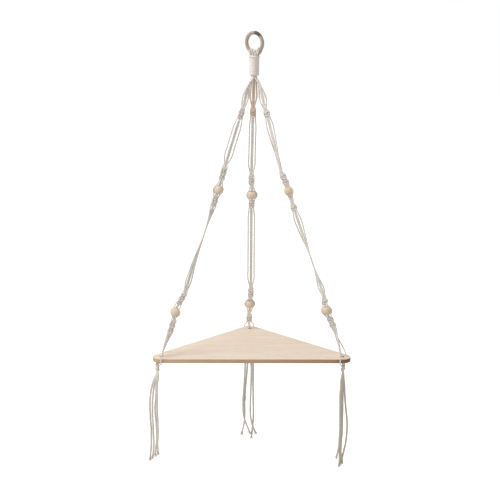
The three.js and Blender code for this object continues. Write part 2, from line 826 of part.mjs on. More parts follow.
const tailPoints = {
  left: [
    [
      [1, -5, -15],
      [-1, -5, -32],
      [-1.5, -5, -49],
      [-1.5, -5, -66],
      [-1.5, -5.5, -83],
      [-1, -5.5, -100],
      [0, -5.5, -115],
      [0, -5.5, -132],
      [0.5, -5.5, -147],
      [-0.5, -5.5, -162],
      [-1, -5.5, -175],
      [-0.5, -5.5, -187],
      [0, -5.5, -200],
    ],
    [
      [-2, -1.5, -16],
      [-3.5, -1.5, -33],
      [-4, -1.5, -50],
      [-5, -2, -67],
      [-6.5, -2, -85],
      [-6, -2, -102],
      [-4.5, -2, -117],
      [-3.5, -2, -134],
      [-3, -2, -151],
      [-3, -2, -166],
      [-4.5, -2, -179],
      [-6, -2, -194],
      [-7, -2, -206],
    ],
    [
      [-5.5, 1.5, -17],
      [-8.5, 1.5, -35],
      [-10.5, 2, -52],
      [-12, 2, -69],
      [-12.5, 2, -86],
      [-12.5, 2, -103],
      [-12, 2, -121],
      [-11, 2, -138],
      [-10.5, 2, -155],
      [-10, 2, -170],
      [-10.5, 2, -183],
      [-11.5, 2, -198],
      [-13.5, 2, -213],
    ],
    [
      [-8.5, 5, -19],
      [-13.5, 5, -36],
      [-16.5, 5.5, -53],
      [-18, 5.5, -70],
      [-18.5, 5.5, -88],
      [-18, 5.5, -105],
      [-17.5, 5.5, -122],
      [-16, 5.5, -139],
      [-16, 5.5, -157],
      [-16, 5.5, -174],
      [-17, 5.5, -192],
      [-18.5, 5.5, -207],
      [-20, 5.5, -219],
    ],
  ],
  right: [
    [
      [3, 5, -19],
      [5, 5, -36],
      [6, 5, -53],
      [7.5, 5.5, -70],
      [9.5, 5.5, -88],
      [11.5, 5.5, -105],
      [13.5, 5.5, -122],
      [14, 5.5, -140],
      [13.5, 5.5, -157],
      [12, 5.5, -175],
      [9, 5.5, -192],
      [5.5, 5.5, -210],
      [4, 5.5, -228],
    ],
    [
      [0.5, 1.5, -17],
      [0.5, 1.5, -35],
      [1, 2, -54],
      [1.5, 2, -74],
      [2, 2, -94],
      [2, 2, -114],
      [2, 2, -133],
      [2, 2, -153],
      [1, 2, -171],
      [0.5, 2, -188],
      [1, 2, -204],
      [2, 2, -216],
      [3, 2, -226],
    ],
    [
      [-2, -1.5, -16],
      [-2.5, -1.5, -33],
      [-2.5, -2, -53],
      [-1.5, -2, -72],
      [-1.5, -2, -92],
      [-1.5, -2, -112],
      [-1, -2, -132],
      [-1.5, -2, -152],
      [-2, -2, -172],
      [-2, -2, -189],
      [-2.5, -2, -204],
      [-2.5, -2, -219],
      [-2.5, -2, -232],
    ],
    [
      [-4, -5, -15],
      [-4.5, -5, -32],
      [-5.5, -5.5, -49],
      [-5.5, -5.5, -66],
      [-5, -5.5, -86],
      [-4.5, -5.5, -106],
      [-4, -5.5, -125],
      [-4, -5.5, -145],
      [-4.5, -5.5, -163],
      [-5, -5.5, -178],
      [-6.5, -5.5, -190],
      [-8.5, -5.5, -200],
      [-10.5, -5.5, -210],
    ],
  ],
  back: [
    [
      [-6.5, -0.5, -18],
      [-7, -1, -42],
      [-7.5, -1.5, -65],
      [-8.5, -1.5, -88],
      [-9.5, -2, -112],
      [-11, -2, -135],
      [-11.5, -2.5, -156],
      [-11.5, -2.5, -174],
      [-9.5, -2.5, -190],
      [-5.5, -2.5, -204],
      [-1, -2.5, -216],
      [3, -2, -226],
      [6.5, -1.5, -237],
    ],
    [
      [-1.5, 0, -19],
      [-1, 0.5, -42],
      [-2, 1, -66],
      [-3.5, 1.5, -89],
      [-5.5, 2, -113],
      [-7, 2, -137],
      [-7.5, 2.5, -158],
      [-7, 2.5, -176],
      [-7, 2.5, -192],
      [-8, 2.5, -206],
      [-9.5, 2, -217],
      [-12, 2, -229],
      [-15, 1.5, -240],
    ],
    [
      [4, 0, -19],
      [6.5, 0, -42],
      [8, -0.5, -65],
      [8, -1, -88],
      [7.5, -1.5, -112],
      [7, -1.5, -135],
      [6.5, -1.5, -156],
      [6.5, -1.5, -175],
      [7.5, -2, -191],
      [9.5, -2.5, -204],
      [13, -2.5, -216],
      [17, -2.5, -226],
      [20.5, -2.5, -236],
    ],
    [
      [8, 0, -19],
      [11.5, 0.5, -42],
      [13, 1, -66],
      [13, 1.5, -89],
      [13, 1.5, -113],
      [13.5, 1.5, -136],
      [14, 1.5, -158],
      [14.5, 1.5, -176],
      [14.5, 2, -192],
      [14, 2, -205],
      [12.5, 2, -219],
      [11.5, 2, -235],
      [10, 2, -251],
    ],
  ],
};

function makeTails() {
  for (const [name, strap] of Object.entries(straps)) {
    tailPoints[name].forEach((offsets, index) => {
      const top = strap.row[index];
      const lead = top.clone().addScaledVector(down, cordDiameter);
      const rest = offsets.map(([x, y, z]) => vector(x, y, z).add(strap.rowCentre));
      addMesh(`tail_${name}_${index + 1}`, sweep([top, lead, ...rest], tailSides), cotton);
    });
  }
}

makeRing();
makeCords();
makeWinding();
makeBeads();
makeBoard();
makeTails();

export default shelf;
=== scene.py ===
# The looks of a hanging corner shelf: knotted cotton cords, turned beads, a wooden ring and a wooden board.
# Lengths are in metres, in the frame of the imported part: +Z is up, the origin is the top of the ring's eye,
# and the long edge of the board faces -Y. The cords repeat the routes of the part's own source, drawn in a
# little at their knots and spread a little wider below the winding.

import math

import bpy
import numpy as np
from mathutils import Matrix, Vector


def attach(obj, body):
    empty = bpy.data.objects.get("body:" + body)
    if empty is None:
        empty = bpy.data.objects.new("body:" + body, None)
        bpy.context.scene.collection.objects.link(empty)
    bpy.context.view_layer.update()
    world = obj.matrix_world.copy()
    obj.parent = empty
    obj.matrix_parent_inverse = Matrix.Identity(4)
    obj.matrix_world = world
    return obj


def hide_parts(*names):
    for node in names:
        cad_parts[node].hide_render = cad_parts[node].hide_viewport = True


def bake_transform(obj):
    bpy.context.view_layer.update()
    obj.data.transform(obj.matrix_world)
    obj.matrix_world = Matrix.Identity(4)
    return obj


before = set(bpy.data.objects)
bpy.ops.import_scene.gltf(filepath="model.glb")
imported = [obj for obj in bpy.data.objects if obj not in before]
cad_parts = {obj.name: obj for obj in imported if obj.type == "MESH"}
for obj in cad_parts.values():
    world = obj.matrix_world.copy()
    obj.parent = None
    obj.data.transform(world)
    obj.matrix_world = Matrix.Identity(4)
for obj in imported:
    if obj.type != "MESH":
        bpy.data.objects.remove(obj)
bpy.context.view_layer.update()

# Camera: fitted to the ring, the knots and the board's three corners in the photograph
VIEW_DEGREES = 21.4
CAMERA_AZIMUTH_DEGREES = -1.576
CAMERA_ELEVATION_DEGREES = 14.756
CAMERA_ROLL_DEGREES = 0.606
CAMERA_DISTANCE = 3.0258
CAMERA_TARGET = Vector((-0.00509, 0.0, -0.4888))
SENSOR_WIDTH = 36.0

# Ring
RING_OUTER_DIAMETER = 0.052
RING_STOCK = 0.008
RING_TURN_DEGREES = 40
RING_SEGMENTS = 96
RING_SIDES = 32

# Cord
CORD = 0.003
BUNDLE_GAP = 0.00035
KNOT_GAP = 0.0003
CORD_TO_RING = 0.0006
FOLD_STEPS = 8
FOLD_STEP_DEGREES = 14.5
FOLD_LEAN_DEGREES = 10.75
FREE_STEP = 0.024

# Twist of the cord: how long one turn of its plies is, and how deep the grooves between them are
PLIES = 3
LAY = 0.011
GROOVE = 0.07
ROPE_STEP = 0.00075
ROPE_SIDES = 12

# Winding that gathers the twelve strands under the ring
WINDING_DROP = 0.006
WINDING_TURNS = 12
WINDING_GAP = 0.0005
WINDING_TO_BUNDLE = 0.0008
WINDING_STEPS_PER_TURN = 14
WINDING_START_DEGREES = 130
WINDING_FLARE = 0.0022
BUNDLE_TWIST_DEGREES = -10
INNER_ROW_SHARE = 0.564
WINDING_CORD = 0.0038
WINDING_GROOVE = 0.02
WINDING_SWELL = 0.0004
WINDING_STRETCH = (1, 1, 1.6)

# Board
BOARD_LEG = 0.36
BOARD_THICKNESS = 0.01
BOARD_CORNER_RADIUS = 0.02
BOARD_DROP = 0.723
BOARD_EASE = 0.001
BOARD_EASE_STEPS = 3
BOARD_CORNER_STEPS = 20
CORD_HOLE_DIAMETER = 0.009
CORD_HOLE_STEPS = 40
SHARP_DEGREES = 40
CORD_TO_BOARD = 0.0004

# Beads
BEAD_DIAMETER = 0.022
BEAD_BORE = 0.009
BEAD_EASE = 0.0007
BEAD_SEGMENTS = 48
BEAD_STEPS = 24
CORD_TO_BEAD = 0.0004
BEAD_PASS_DEGREES = (-50, -25, 0, 25, 50)

# Knots under the board, and the tassels that hang from them, in rows of four tails
UNDER_KNOT_DROP = 0.009
UNDER_KNOT_HALF_KNOTS = 2
TASSEL_DROP = 0.0048
TASSEL_GAP = 0.0008
TASSEL_ROW = (-3, -1, 1, 3)

# The soft cord is drawn in where it is knotted or lies on a bead. It swells on its free stretches, and its
# loose tails swell more and fray.
FREE_CORD = 0.0037
FREE_EASE = 0.012
KNOT_WIDTH_SHARE = 0.72
KNOT_DEPTH_SHARE = 0.84
NECK_FILLER_SHARE = 0.4
NECK_OUT_SHARE = 0.45
BEAD_HUG = 0.0008
TAIL_CORD = 0.005
TAIL_SWELL_LENGTH = 0.009
TAIL_GROOVE = 0.17
LUMP_HEIGHT = -0.904
LUMP_LENGTH = 0.006
LUMP_CORD = 0.0016
FRAY_LENGTH = 0.015
FRAY_START = 0.008
FRAY_SPREAD = 0.0034
FRAY_FIBRES = 60
FRAY_SEED = 7
FRAY_SHORTEST_SHARE = 0.6
FRAY_CORE_SHARE = 0.38
FRAY_FLARE = 1.6
FIBRE = 0.00045
FIBRE_SIDES = 3
FIBRE_STEPS = 6
FIBRE_TAPER = 0.55

CORD_RADIUS = CORD / 2
BUNDLE_PITCH = CORD + BUNDLE_GAP
KNOT_PITCH = CORD + KNOT_GAP
HALF_KNOT_HEIGHT = 2 * KNOT_PITCH
BOARD_TOP = -BOARD_DROP
BOARD_BOTTOM = BOARD_TOP - BOARD_THICKNESS
UP = np.array([0.0, 0.0, 1.0])
RIGHT = np.array([1.0, 0.0, 0.0])


def add_object(name, data):
    piece = bpy.data.objects.new(name, data)
    bpy.context.collection.objects.link(piece)
    return piece


def make_camera():
    azimuth = math.radians(CAMERA_AZIMUTH_DEGREES)
    elevation = math.radians(CAMERA_ELEVATION_DEGREES)
    roll = math.radians(CAMERA_ROLL_DEGREES)
    ahead = Vector((-math.sin(azimuth), math.cos(azimuth), 0))
    forward = ahead * math.cos(elevation) - Vector((0, 0, math.sin(elevation)))
    level = Vector((math.cos(azimuth), math.sin(azimuth), 0))
    upright = level.cross(forward)
    right = level * math.cos(roll) + upright * math.sin(roll)
    above = upright * math.cos(roll) - level * math.sin(roll)
    data = bpy.data.cameras.new("camera")
    data.sensor_width = SENSOR_WIDTH
    data.lens = SENSOR_WIDTH / 2 / math.tan(math.radians(VIEW_DEGREES) / 2)
    camera = add_object("camera", data)
    turn = Matrix((right, above, -forward)).transposed().to_4x4()
    camera.matrix_world = Matrix.Translation(CAMERA_TARGET - forward * CAMERA_DISTANCE) @ turn
    bpy.context.scene.camera = camera


make_camera()


def unit(vector):
    return vector / np.linalg.norm(vector)


def heading(degrees):
    """A level direction, from its angle."""
    angle = math.radians(degrees)
    return np.array([math.cos(angle), math.sin(angle), 0.0])


def full_turn(count):
    """The angles of evenly spaced places round a circle."""
    return 2 * math.pi * np.arange(count) / count


def directions(angles, first, second):
    """The directions at the given angles from the first direction towards the second."""
    return np.cos(angles)[..., None] * first + np.sin(angles)[..., None] * second


# The ring's plane is upright and turned about the vertical.
RING_STOCK_RADIUS = RING_STOCK / 2
RING_MID_RADIUS = RING_OUTER_DIAMETER / 2 - RING_STOCK_RADIUS
RING_CENTRE = RING_STOCK_RADIUS - RING_MID_RADIUS
ALONG_RING = heading(-RING_TURN_DEGREES)
ACROSS_RING = heading(90 - RING_TURN_DEGREES)


def at_ring(along, across, height):
    """A place given along the ring's plane, across it, and up."""
    return along * ALONG_RING + across * ACROSS_RING + height * UP


# Folds: each cord passes over the ring's stock from its front to its back, through the eye. They are spread
# along the ring, and their middle lies a little to one side of its lowest point.
FOLD_RADIUS = RING_STOCK_RADIUS + CORD_TO_RING + CORD_RADIUS


def fold_points(index):
    middle = (len(LEGS) - 1) / 2
    angle = math.radians(FOLD_LEAN_DEGREES + (middle - index) * FOLD_STEP_DEGREES)
    outward = at_ring(math.sin(angle), 0, -math.cos(angle))
    centre = RING_CENTRE * UP + RING_MID_RADIUS * outward
    points = []
    for i in range(FOLD_STEPS + 1):
        turn = math.pi * i / FOLD_STEPS
        across = -FOLD_RADIUS * math.cos(turn) * ACROSS_RING
        points.append(centre + across - FOLD_RADIUS * math.sin(turn) * outward)
    return points


# Bundle: nine strands round three, turning a little on the way down.
OUTER_ROW_STRANDS = 9
OUTER_ROW_RADIUS = BUNDLE_PITCH / (2 * math.sin(math.radians(180 / OUTER_ROW_STRANDS)))
INNER_ROW_RADIUS = BUNDLE_PITCH * INNER_ROW_SHARE
WINDING_PITCH = CORD + WINDING_GAP
WINDING_RADIUS = OUTER_ROW_RADIUS + CORD + WINDING_TO_BUNDLE
WINDING_TOP = RING_CENTRE - RING_OUTER_DIAMETER / 2 - WINDING_DROP
WINDING_BOTTOM = WINDING_TOP - WINDING_TURNS * WINDING_PITCH
BUNDLE_TOP = WINDING_TOP - CORD
BUNDLE_BOTTOM = WINDING_BOTTOM - CORD_RADIUS


def bundle_point(strand, height):
    share = (BUNDLE_TOP - height) / (BUNDLE_TOP - BUNDLE_BOTTOM)
    angle = math.radians(strand["angle"] + BUNDLE_TWIST_DEGREES * share)
    radius = INNER_ROW_RADIUS if strand["inner"] else OUTER_ROW_RADIUS
    return at_ring(radius * math.cos(angle), radius * math.sin(angle), height)


def leg(strap, role, angle, points, inner=False):
    return {"strap": strap, "role": role, "angle": angle, "points": points, "inner": inner}


# The two legs of each folded cord, in the order of the folds along the ring. A leg joins a strap as one of
# its two workers, which tie the knots, or one of its two fillers, which run straight through them. Its
# points lead from the fold to the bundle: along the ring, across it, and up from the winding's top.
LEGS = [
    (leg("right", "worker_plus", 340, [
        (0.0151, -0.0058, 0.0133), (0.0134, -0.0049, 0.01), (0.0109, -0.0037, 0.0073),
        (0.0082, -0.0025, 0.0049), (0.0054, -0.0015, 0.0025), (0.0045, -0.0015, 0.0003),
    ]), leg("right", "filler_plus", 20, [
        (0.0151, 0.0059, 0.0134), (0.0134, 0.005, 0.0101), (0.0109, 0.0038, 0.0074),
        (0.0082, 0.0026, 0.005), (0.0053, 0.0016, 0.0026), (0.0047, 0.0016, 0.0003),
    ])),
    (leg("left", "worker_minus", 300, [
        (0.0102, -0.006, 0.0107), (0.0084, -0.0057, 0.0079), (0.0065, -0.0052, 0.0053),
        (0.0044, -0.0045, 0.0029), (0.0029, -0.0041, 0.001), (0.0027, -0.0042, -0.0007),
    ]), leg("right", "worker_minus", 60, [
        (0.0099, 0.006, 0.0102), (0.0079, 0.0057, 0.007), (0.0058, 0.0052, 0.0041),
        (0.0032, 0.0042, 0.0016), (0.0027, 0.0041, 0.0002), (0.0026, 0.0042, -0.0012),
    ])),
    (leg("left", "filler_minus", 280, [
        (0.0055, -0.006, 0.0093), (0.0042, -0.0055, 0.0075), (0.0029, -0.0044, 0.0059),
        (0.0019, -0.0031, 0.0044), (0.0009, -0.0021, 0.0026), (0.0005, -0.0018, 0.0004),
    ], inner=True), leg("right", "filler_minus", 40, [
        (0.0055, 0.006, 0.0093), (0.0043, 0.0055, 0.0075), (0.0033, 0.0044, 0.0059),
        (0.0024, 0.0028, 0.0046), (0.0018, 0.0016, 0.0028), (0.0016, 0.0012, 0.0006),
    ], inner=True)),
    (leg("left", "filler_plus", 260, [
        (0.0008, -0.006, 0.0083), (0.0002, -0.0059, 0.0065), (-0.0001, -0.0057, 0.0047),
        (-0.0002, -0.0053, 0.0029), (-0.0003, -0.005, 0.0012), (-0.0005, -0.0049, -0.0006),
    ]), leg("back", "worker_plus", 100, [
        (0.0009, 0.006, 0.0083), (0.0005, 0.0058, 0.0065), (0.0003, 0.0056, 0.0047),
        (0.0001, 0.0052, 0.003), (-0.0003, 0.0049, 0.0012), (-0.0006, 0.0049, -0.0005),
    ])),
    (leg("left", "worker_plus", 220, [
        (-0.004, -0.0059, 0.0085), (-0.0037, -0.0053, 0.0067), (-0.0035, -0.0048, 0.0049),
        (-0.0032, -0.0042, 0.0031), (-0.0032, -0.0038, 0.0013), (-0.0035, -0.0035, -0.0005),
    ]), leg("back", "filler_minus", 160, [
        (-0.0036, 0.0059, 0.0085), (-0.003, 0.0051, 0.0067), (-0.0023, 0.0039, 0.0052),
        (-0.0017, 0.0026, 0.0037), (-0.0014, 0.0015, 0.002), (-0.0016, 0.0009, 0.0001),
    ], inner=True)),
    (leg("back", "worker_minus", 180, [
        (-0.0087, -0.0059, 0.0098), (-0.0078, -0.005, 0.0077), (-0.0069, -0.0037, 0.0058),
        (-0.0059, -0.0025, 0.0039), (-0.0049, -0.0012, 0.002), (-0.0049, -0.0006, 0.0),
    ]), leg("back", "filler_plus", 140, [
        (-0.0084, 0.0059, 0.0098), (-0.0072, 0.0051, 0.0075), (-0.0061, 0.0042, 0.0054),
        (-0.0049, 0.0032, 0.0032), (-0.0042, 0.0028, 0.0012), (-0.004, 0.003, -0.0006),
    ])),
]

# The board is a right-angled triangle with a cord hole at the centre of each rounded corner. A rounding runs
# from its corner's first heading to its second.
SIDE_CORNER_DEGREES = 45
BOARD_DEPTH = BOARD_LEG / math.sqrt(2)
CORNER_HEADINGS = {"left": (135, 270), "right": (-90, 45), "back": (45, 135)}
BOARD_FRONT = -BOARD_DEPTH / 3
SIDE_HOLE_X = BOARD_DEPTH - BOARD_CORNER_RADIUS / math.tan(math.radians(SIDE_CORNER_DEGREES / 2))
SIDE_HOLE_Y = BOARD_FRONT + BOARD_CORNER_RADIUS
BACK_HOLE_Y = BOARD_FRONT + BOARD_DEPTH - BOARD_CORNER_RADIUS * math.sqrt(2)

FREE_SPREAD_SHARE = 2.2


def run(start, half_knots, **others):
    usual = {"spread": FREE_SPREAD_SHARE, "neck_above": True, "neck_below": False}
    return {"start": start, "half_knots": half_knots, **usual, **others}


def bead(name, centre, turn_degrees=0):
    return {"bead": name, "centre": centre, "turn_degrees": turn_degrees}


# Straps. Places along a strap are shares of its length, from the winding to its hole. A station is a run of
# half-knots, from its start, or a bead, at its centre. A neck is where the workers draw in beside a run. The
# sway table says how far the strap lies to the right of its straight line, in knot pitches, and the turn
# table how many degrees it is turned about itself. The spread is the workers' distance from the middle, in
# knot pitches, on the free stretch after a run. Each worker passes the board's edge at its own angle from
# the hole, moved along the edge by a slide. The last knot lies beside the hole by its shares of the pitch.
STRAPS = {
    "left": {
        "hole": np.array([-SIDE_HOLE_X, SIDE_HOLE_Y, 0.0]),
        "front_side": 1,
        "sway_shares": [
            (0, -0.6), (0.03, -1.0), (0.11, 0.1), (0.15, 0.3), (0.31, 0.9), (0.378, 1.5), (0.414, 1.5),
            (0.46, 1.75), (0.56, 1.8), (0.65, 1.2), (0.765, 1.9), (0.819, -0.4), (0.855, -0.4),
            (0.867, 0.35), (0.92, 0.45), (0.98, 0.1), (1, 0),
        ],
        "turn_shares": [
            (0, 0), (0.075, 90), (0.455, 90), (0.5, 25), (0.57, 22), (0.66, 50), (0.765, 90), (0.93, 90),
            (1, 0),
        ],
        "stations": [
            run(0.115, 3, spread=2.7),
            run(0.316, 4, neck_below=True),
            bead("upper", 0.396, turn_degrees=-6),
            run(0.415, 4, neck_above=False),
            run(0.769, 4),
            bead("lower", 0.837, turn_degrees=48),
            run(0.867, 5),
        ],
        "plus_edge": (135, -0.025),
        "minus_edge": (270, 0),
        "under_knot_shares": np.array([-2.8, -0.64, 0.0]),
        "under_knot_degrees": 112.5,
    },
    "right": {
        "hole": np.array([SIDE_HOLE_X, SIDE_HOLE_Y, 0.0]),
        "front_side": -1,
        "sway_shares": [
            (0, 0.6), (0.03, 1.0), (0.108, -0.1), (0.137, -0.15), (0.333, -2.6), (0.379, -1.3),
            (0.415, -1.3), (0.445, -1.5), (0.475, -1.5), (0.784, 0.4), (0.811, -0.8), (0.848, -0.8),
            (0.854, -0.45), (0.895, 0.55), (1, 0),
        ],
        "turn_shares": [
            (0, 0), (0.075, -90), (0.17, -90), (0.29, -25), (0.333, -90), (0.5, -90), (0.62, -18),
            (0.69, -18), (0.775, -90), (0.92, -90), (1, 0),
        ],
        "stations": [
            run(0.117, 2, spread=2.3),
            run(0.338, 4),
            bead("upper", 0.399, turn_degrees=25),
            run(0.449, 2, spread=2.4),
            run(0.788, 2),
            bead("lower", 0.831),
            run(0.854, 4, neck_above=False),
        ],
        "plus_edge": (-90, -0.006),
        "minus_edge": (45, 0.008),
        "under_knot_shares": np.array([0.97, -0.36, 0.0]),
        "under_knot_degrees": -112.5,
    },
    "back": {
        "hole": np.array([0.0, BACK_HOLE_Y, 0.0]),
        "front_side": -1,
        "sway_shares": [
            (0, 0), (0.115, -0.25), (0.15, -0.3), (0.365, -0.6), (0.402, -0.55), (0.426, -0.05),
            (0.462, -0.05), (0.5, -0.3), (0.825, 0.35), (0.865, 0.3), (0.876, -0.25), (0.912, -0.25),
            (0.935, -0.45), (0.972, -0.5), (1, 0),
        ],
        "turn_shares": [(0, 0), (1, 0)],
        "stations": [
            run(0.117, 3),
            run(0.371, 3, neck_below=True),
            bead("upper", 0.446),
            run(0.467, 3, neck_above=False),
            run(0.83, 3, neck_below=True),
            bead("lower", 0.894),
            run(0.941, 3),
        ],
        "plus_edge": (62, 0),
        "minus_edge": (126, 0),
        "under_knot_shares": np.array([-0.91, 0.0, 0.0]),
        "under_knot_degrees": 0,
    },
}

# The straight line of each strap, from the middle of its four strands to its hole, with its directions.
for strap_name, strap in STRAPS.items():
    strands = [strand for pair in LEGS for strand in pair if strand["strap"] == strap_name]
    strap["foot"] = sum(bundle_point(strand, BUNDLE_BOTTOM) for strand in strands) / len(strands)
    line = strap["hole"] + BOARD_TOP * UP - strap["foot"]
    strap["length"] = np.linalg.norm(line)
    strap["along"] = unit(line)
    strap["side"] = unit(np.array([line[1], -line[0], 0.0]))
    strap["face"] = np.cross(strap["along"], strap["side"])


def extent(strap, station):
    """How far down its strap a run of half-knots or a bead starts and ends."""
    if "bead" in station:
        centre = station["centre"] * strap["length"]
        return centre - BEAD_DIAMETER / 2, centre + BEAD_DIAMETER / 2
    start = station["start"] * strap["length"]
    return start, start + station["half_knots"] * HALF_KNOT_HEIGHT


def strap_point(strap, distance, across, out):
    """A place on a strap: how far down it, how far across its row of cords, and how far out of that row."""
    share = distance / strap["length"]
    turn = math.radians(np.interp(share, *zip(*strap["turn_shares"])))
    sway = KNOT_PITCH * np.interp(share, *zip(*strap["sway_shares"]))
    sideways = across * math.cos(turn) - out * math.sin(turn)
    facing = across * math.sin(turn) + out * math.cos(turn)
    middle = strap["foot"] + distance * strap["along"] + sway * RIGHT
    return middle + sideways * strap["side"] + facing * strap["face"]


# One half-knot, as the front worker goes: places across, out and down, in knot pitches. It starts on the
# minus side, crosses in front of the fillers, and leaves behind the other worker. That one does the same,
# turned half round about the strap, and the next half-knot mirrors this one.
HALF_KNOT_SHARES = np.array([
    (-2.46, -0.69, 0.45), (-2.04, -0.3, 1.58), (-0.86, 0.96, 1.49),
    (0.94, 0.98, 0.84), (1.72, -0.23, 0.44), (2.39, -0.78, 1.05),
])
EXIT_SHARES = np.array([2.35, -0.6, 0.05])
KNOT_SCALE = KNOT_PITCH * np.array([KNOT_WIDTH_SHARE, KNOT_DEPTH_SHARE, 1.0])
NECK_SPREAD_SHARE = 1.05
NECK_DROP_SHARE = 1.6
START_SPREAD_SHARES = (1.6, 1.9)
START_FILLER_SHARES = (0.4, 0.5)
START_DROP = 0.012
FILLER_PLACE = KNOT_PITCH / 2
BEAD_PASS_RADIUS = BEAD_DIAMETER / 2 + CORD_TO_BEAD + CORD_RADIUS - BEAD_HUG
EDGE_PASS_RADIUS = BOARD_CORNER_RADIUS + CORD_TO_BOARD + CORD_RADIUS


class StrapCords:
    """Follows the four cords of one strap from the bundle to the tassel."""

    def __init__(self, strap):
        self.strap = strap
        self.side = strap["front_side"]
        self.front, self.back, self.filler_plus, self.filler_minus = [], [], [], []
        minus, plus = (self.front, self.back) if self.side < 0 else (self.back, self.front)
        self.routes = {
            "worker_minus": minus, "worker_plus": plus,
            "filler_minus": self.filler_minus, "filler_plus": self.filler_plus,
        }
        self.reached = START_DROP * len(START_SPREAD_SHARES)
        self.spread = FREE_SPREAD_SHARE * KNOT_PITCH
        self.place = self.on_strap
        self.add_start()
        for station in strap["stations"]:
            if "bead" in station:
                self.add_bead(station)
            else:
                self.add_run(station)
            self.reached = extent(strap, station)[1]
        self.add_board_pass()
        self.place = self.under_board
        self.add_under_knot()

    def on_strap(self, distance, across, out):
        return strap_point(self.strap, distance, across, out)

    def under_board(self, distance, across, out):
        row = heading(self.strap["under_knot_degrees"])
        beside = KNOT_PITCH * self.strap["under_knot_shares"]
        down = BOARD_BOTTOM - UNDER_KNOT_DROP - distance
        return self.strap["hole"] + beside + down * UP + across * row + out * np.cross(-UP, row)

    def add_fillers(self, distance, across=FILLER_PLACE, out=0):
        self.filler_plus.append(self.place(distance, across, out))
        self.filler_minus.append(self.place(distance, -across, -out))

    def add_both(self, distance, across, out):
        self.front.append(self.place(distance, across, out))
        self.back.append(self.place(distance, -across, -out))

    def add_workers(self, distance, across, out):
        self.add_both(distance, self.side * across, self.side * out)

    def add_neck(self, distance):
        self.add_workers(distance, NECK_SPREAD_SHARE * KNOT_PITCH, NECK_OUT_SHARE * KNOT_PITCH)
        self.add_fillers(distance, NECK_FILLER_SHARE * KNOT_PITCH)

    def tie(self, start, half_knots):
        self.add_fillers(start)
        for i in range(half_knots):
            top = start + i * HALF_KNOT_HEIGHT
            for shares in HALF_KNOT_SHARES:
                across, out, drop = shares * KNOT_SCALE
                self.add_both(top + drop, -self.side * across, out)
            self.side = -self.side
        end = start + half_knots * HALF_KNOT_HEIGHT
        across, out, drop = EXIT_SHARES * KNOT_SCALE
        self.add_both(end + drop, self.side * across, out)
        self.add_fillers(end)

    def add_start(self):
        for i, share in enumerate(START_SPREAD_SHARES):
            distance = START_DROP * (i + 1)
            across = START_FILLER_SHARES[i] * KNOT_PITCH
            out = across if i == 0 else 0
            self.add_workers(distance, share * KNOT_PITCH, 0)
            self.add_fillers(distance, across, -out)

    def add_bead(self, station):
        centre = station["centre"] * self.strap["length"]
        turn = math.radians(station["turn_degrees"])
        for distance in extent(self.strap, station):
            self.add_fillers(distance)
        for degrees in BEAD_PASS_DEGREES:
            distance = centre + BEAD_PASS_RADIUS * math.sin(math.radians(degrees))
            away = BEAD_PASS_RADIUS * math.cos(math.radians(degrees))
            self.add_workers(distance, away * math.cos(turn), away * math.sin(turn))

    def add_run(self, station):
        start, end = extent(self.strap, station)
        neck_top = start - NECK_DROP_SHARE * KNOT_PITCH
        count = math.ceil((neck_top - self.reached) / FREE_STEP)
        for i in range(1, count):
            distance = self.reached + (neck_top - self.reached) * i / count
            self.add_fillers(distance)
            self.add_workers(distance, self.spread, 0)
        if station["neck_above"]:
            self.add_neck(neck_top)
        self.tie(start, station["half_knots"])
        if station["neck_below"]:
            self.add_neck(end + NECK_DROP_SHARE * KNOT_PITCH)
        self.spread = station["spread"] * KNOT_PITCH

    def add_board_pass(self):
        strap = self.strap
        left = strap["length"] - self.reached
        steps = math.ceil(left / (FREE_STEP / 2))
        for i in range(1, steps):
            self.add_fillers(self.reached + left * i / steps)
        for cord, sign in ((self.filler_plus, 1), (self.filler_minus, -1)):
            in_hole = strap["hole"] + sign * FILLER_PLACE * strap["side"]
            cord.append(in_hole + BOARD_TOP * UP)
            cord.append(in_hole + (BOARD_BOTTOM - CORD) * UP)
        for cord, sign in ((self.front, self.side), (self.back, -self.side)):
            edge_degrees, slide = strap["plus_edge" if sign > 0 else "minus_edge"]
            edge = heading(edge_degrees)
            beside = strap["hole"] + EDGE_PASS_RADIUS * edge + slide * heading(edge_degrees + 90)
            cord.append(beside + (BOARD_TOP + CORD_RADIUS) * UP)
            cord.append(beside + (BOARD_BOTTOM - BOARD_EASE) * UP)
            cord.append(beside - CORD * edge + (BOARD_BOTTOM - CORD_TO_BOARD - CORD) * UP)

    def add_under_knot(self):
        self.tie(0, UNDER_KNOT_HALF_KNOTS)
        knot_end = UNDER_KNOT_HALF_KNOTS * HALF_KNOT_HEIGHT
        for distance in (knot_end + TASSEL_DROP / 2, knot_end + TASSEL_DROP):
            self.add_fillers(distance)
            self.add_workers(distance, TASSEL_ROW[-1] * FILLER_PLACE, 0)
        row_distance = knot_end + TASSEL_DROP + TASSEL_GAP
        self.row = [self.place(row_distance, share * FILLER_PLACE, 0) for share in TASSEL_ROW]
        self.row_centre = self.place(row_distance, 0, 0)


def between(k, start_k, end_k, start, end):
    """The places that go evenly from the start at start_k to the end at end_k."""
    return (end_k - k) / (end_k - start_k) * start + (k - start_k) / (end_k - start_k) * end


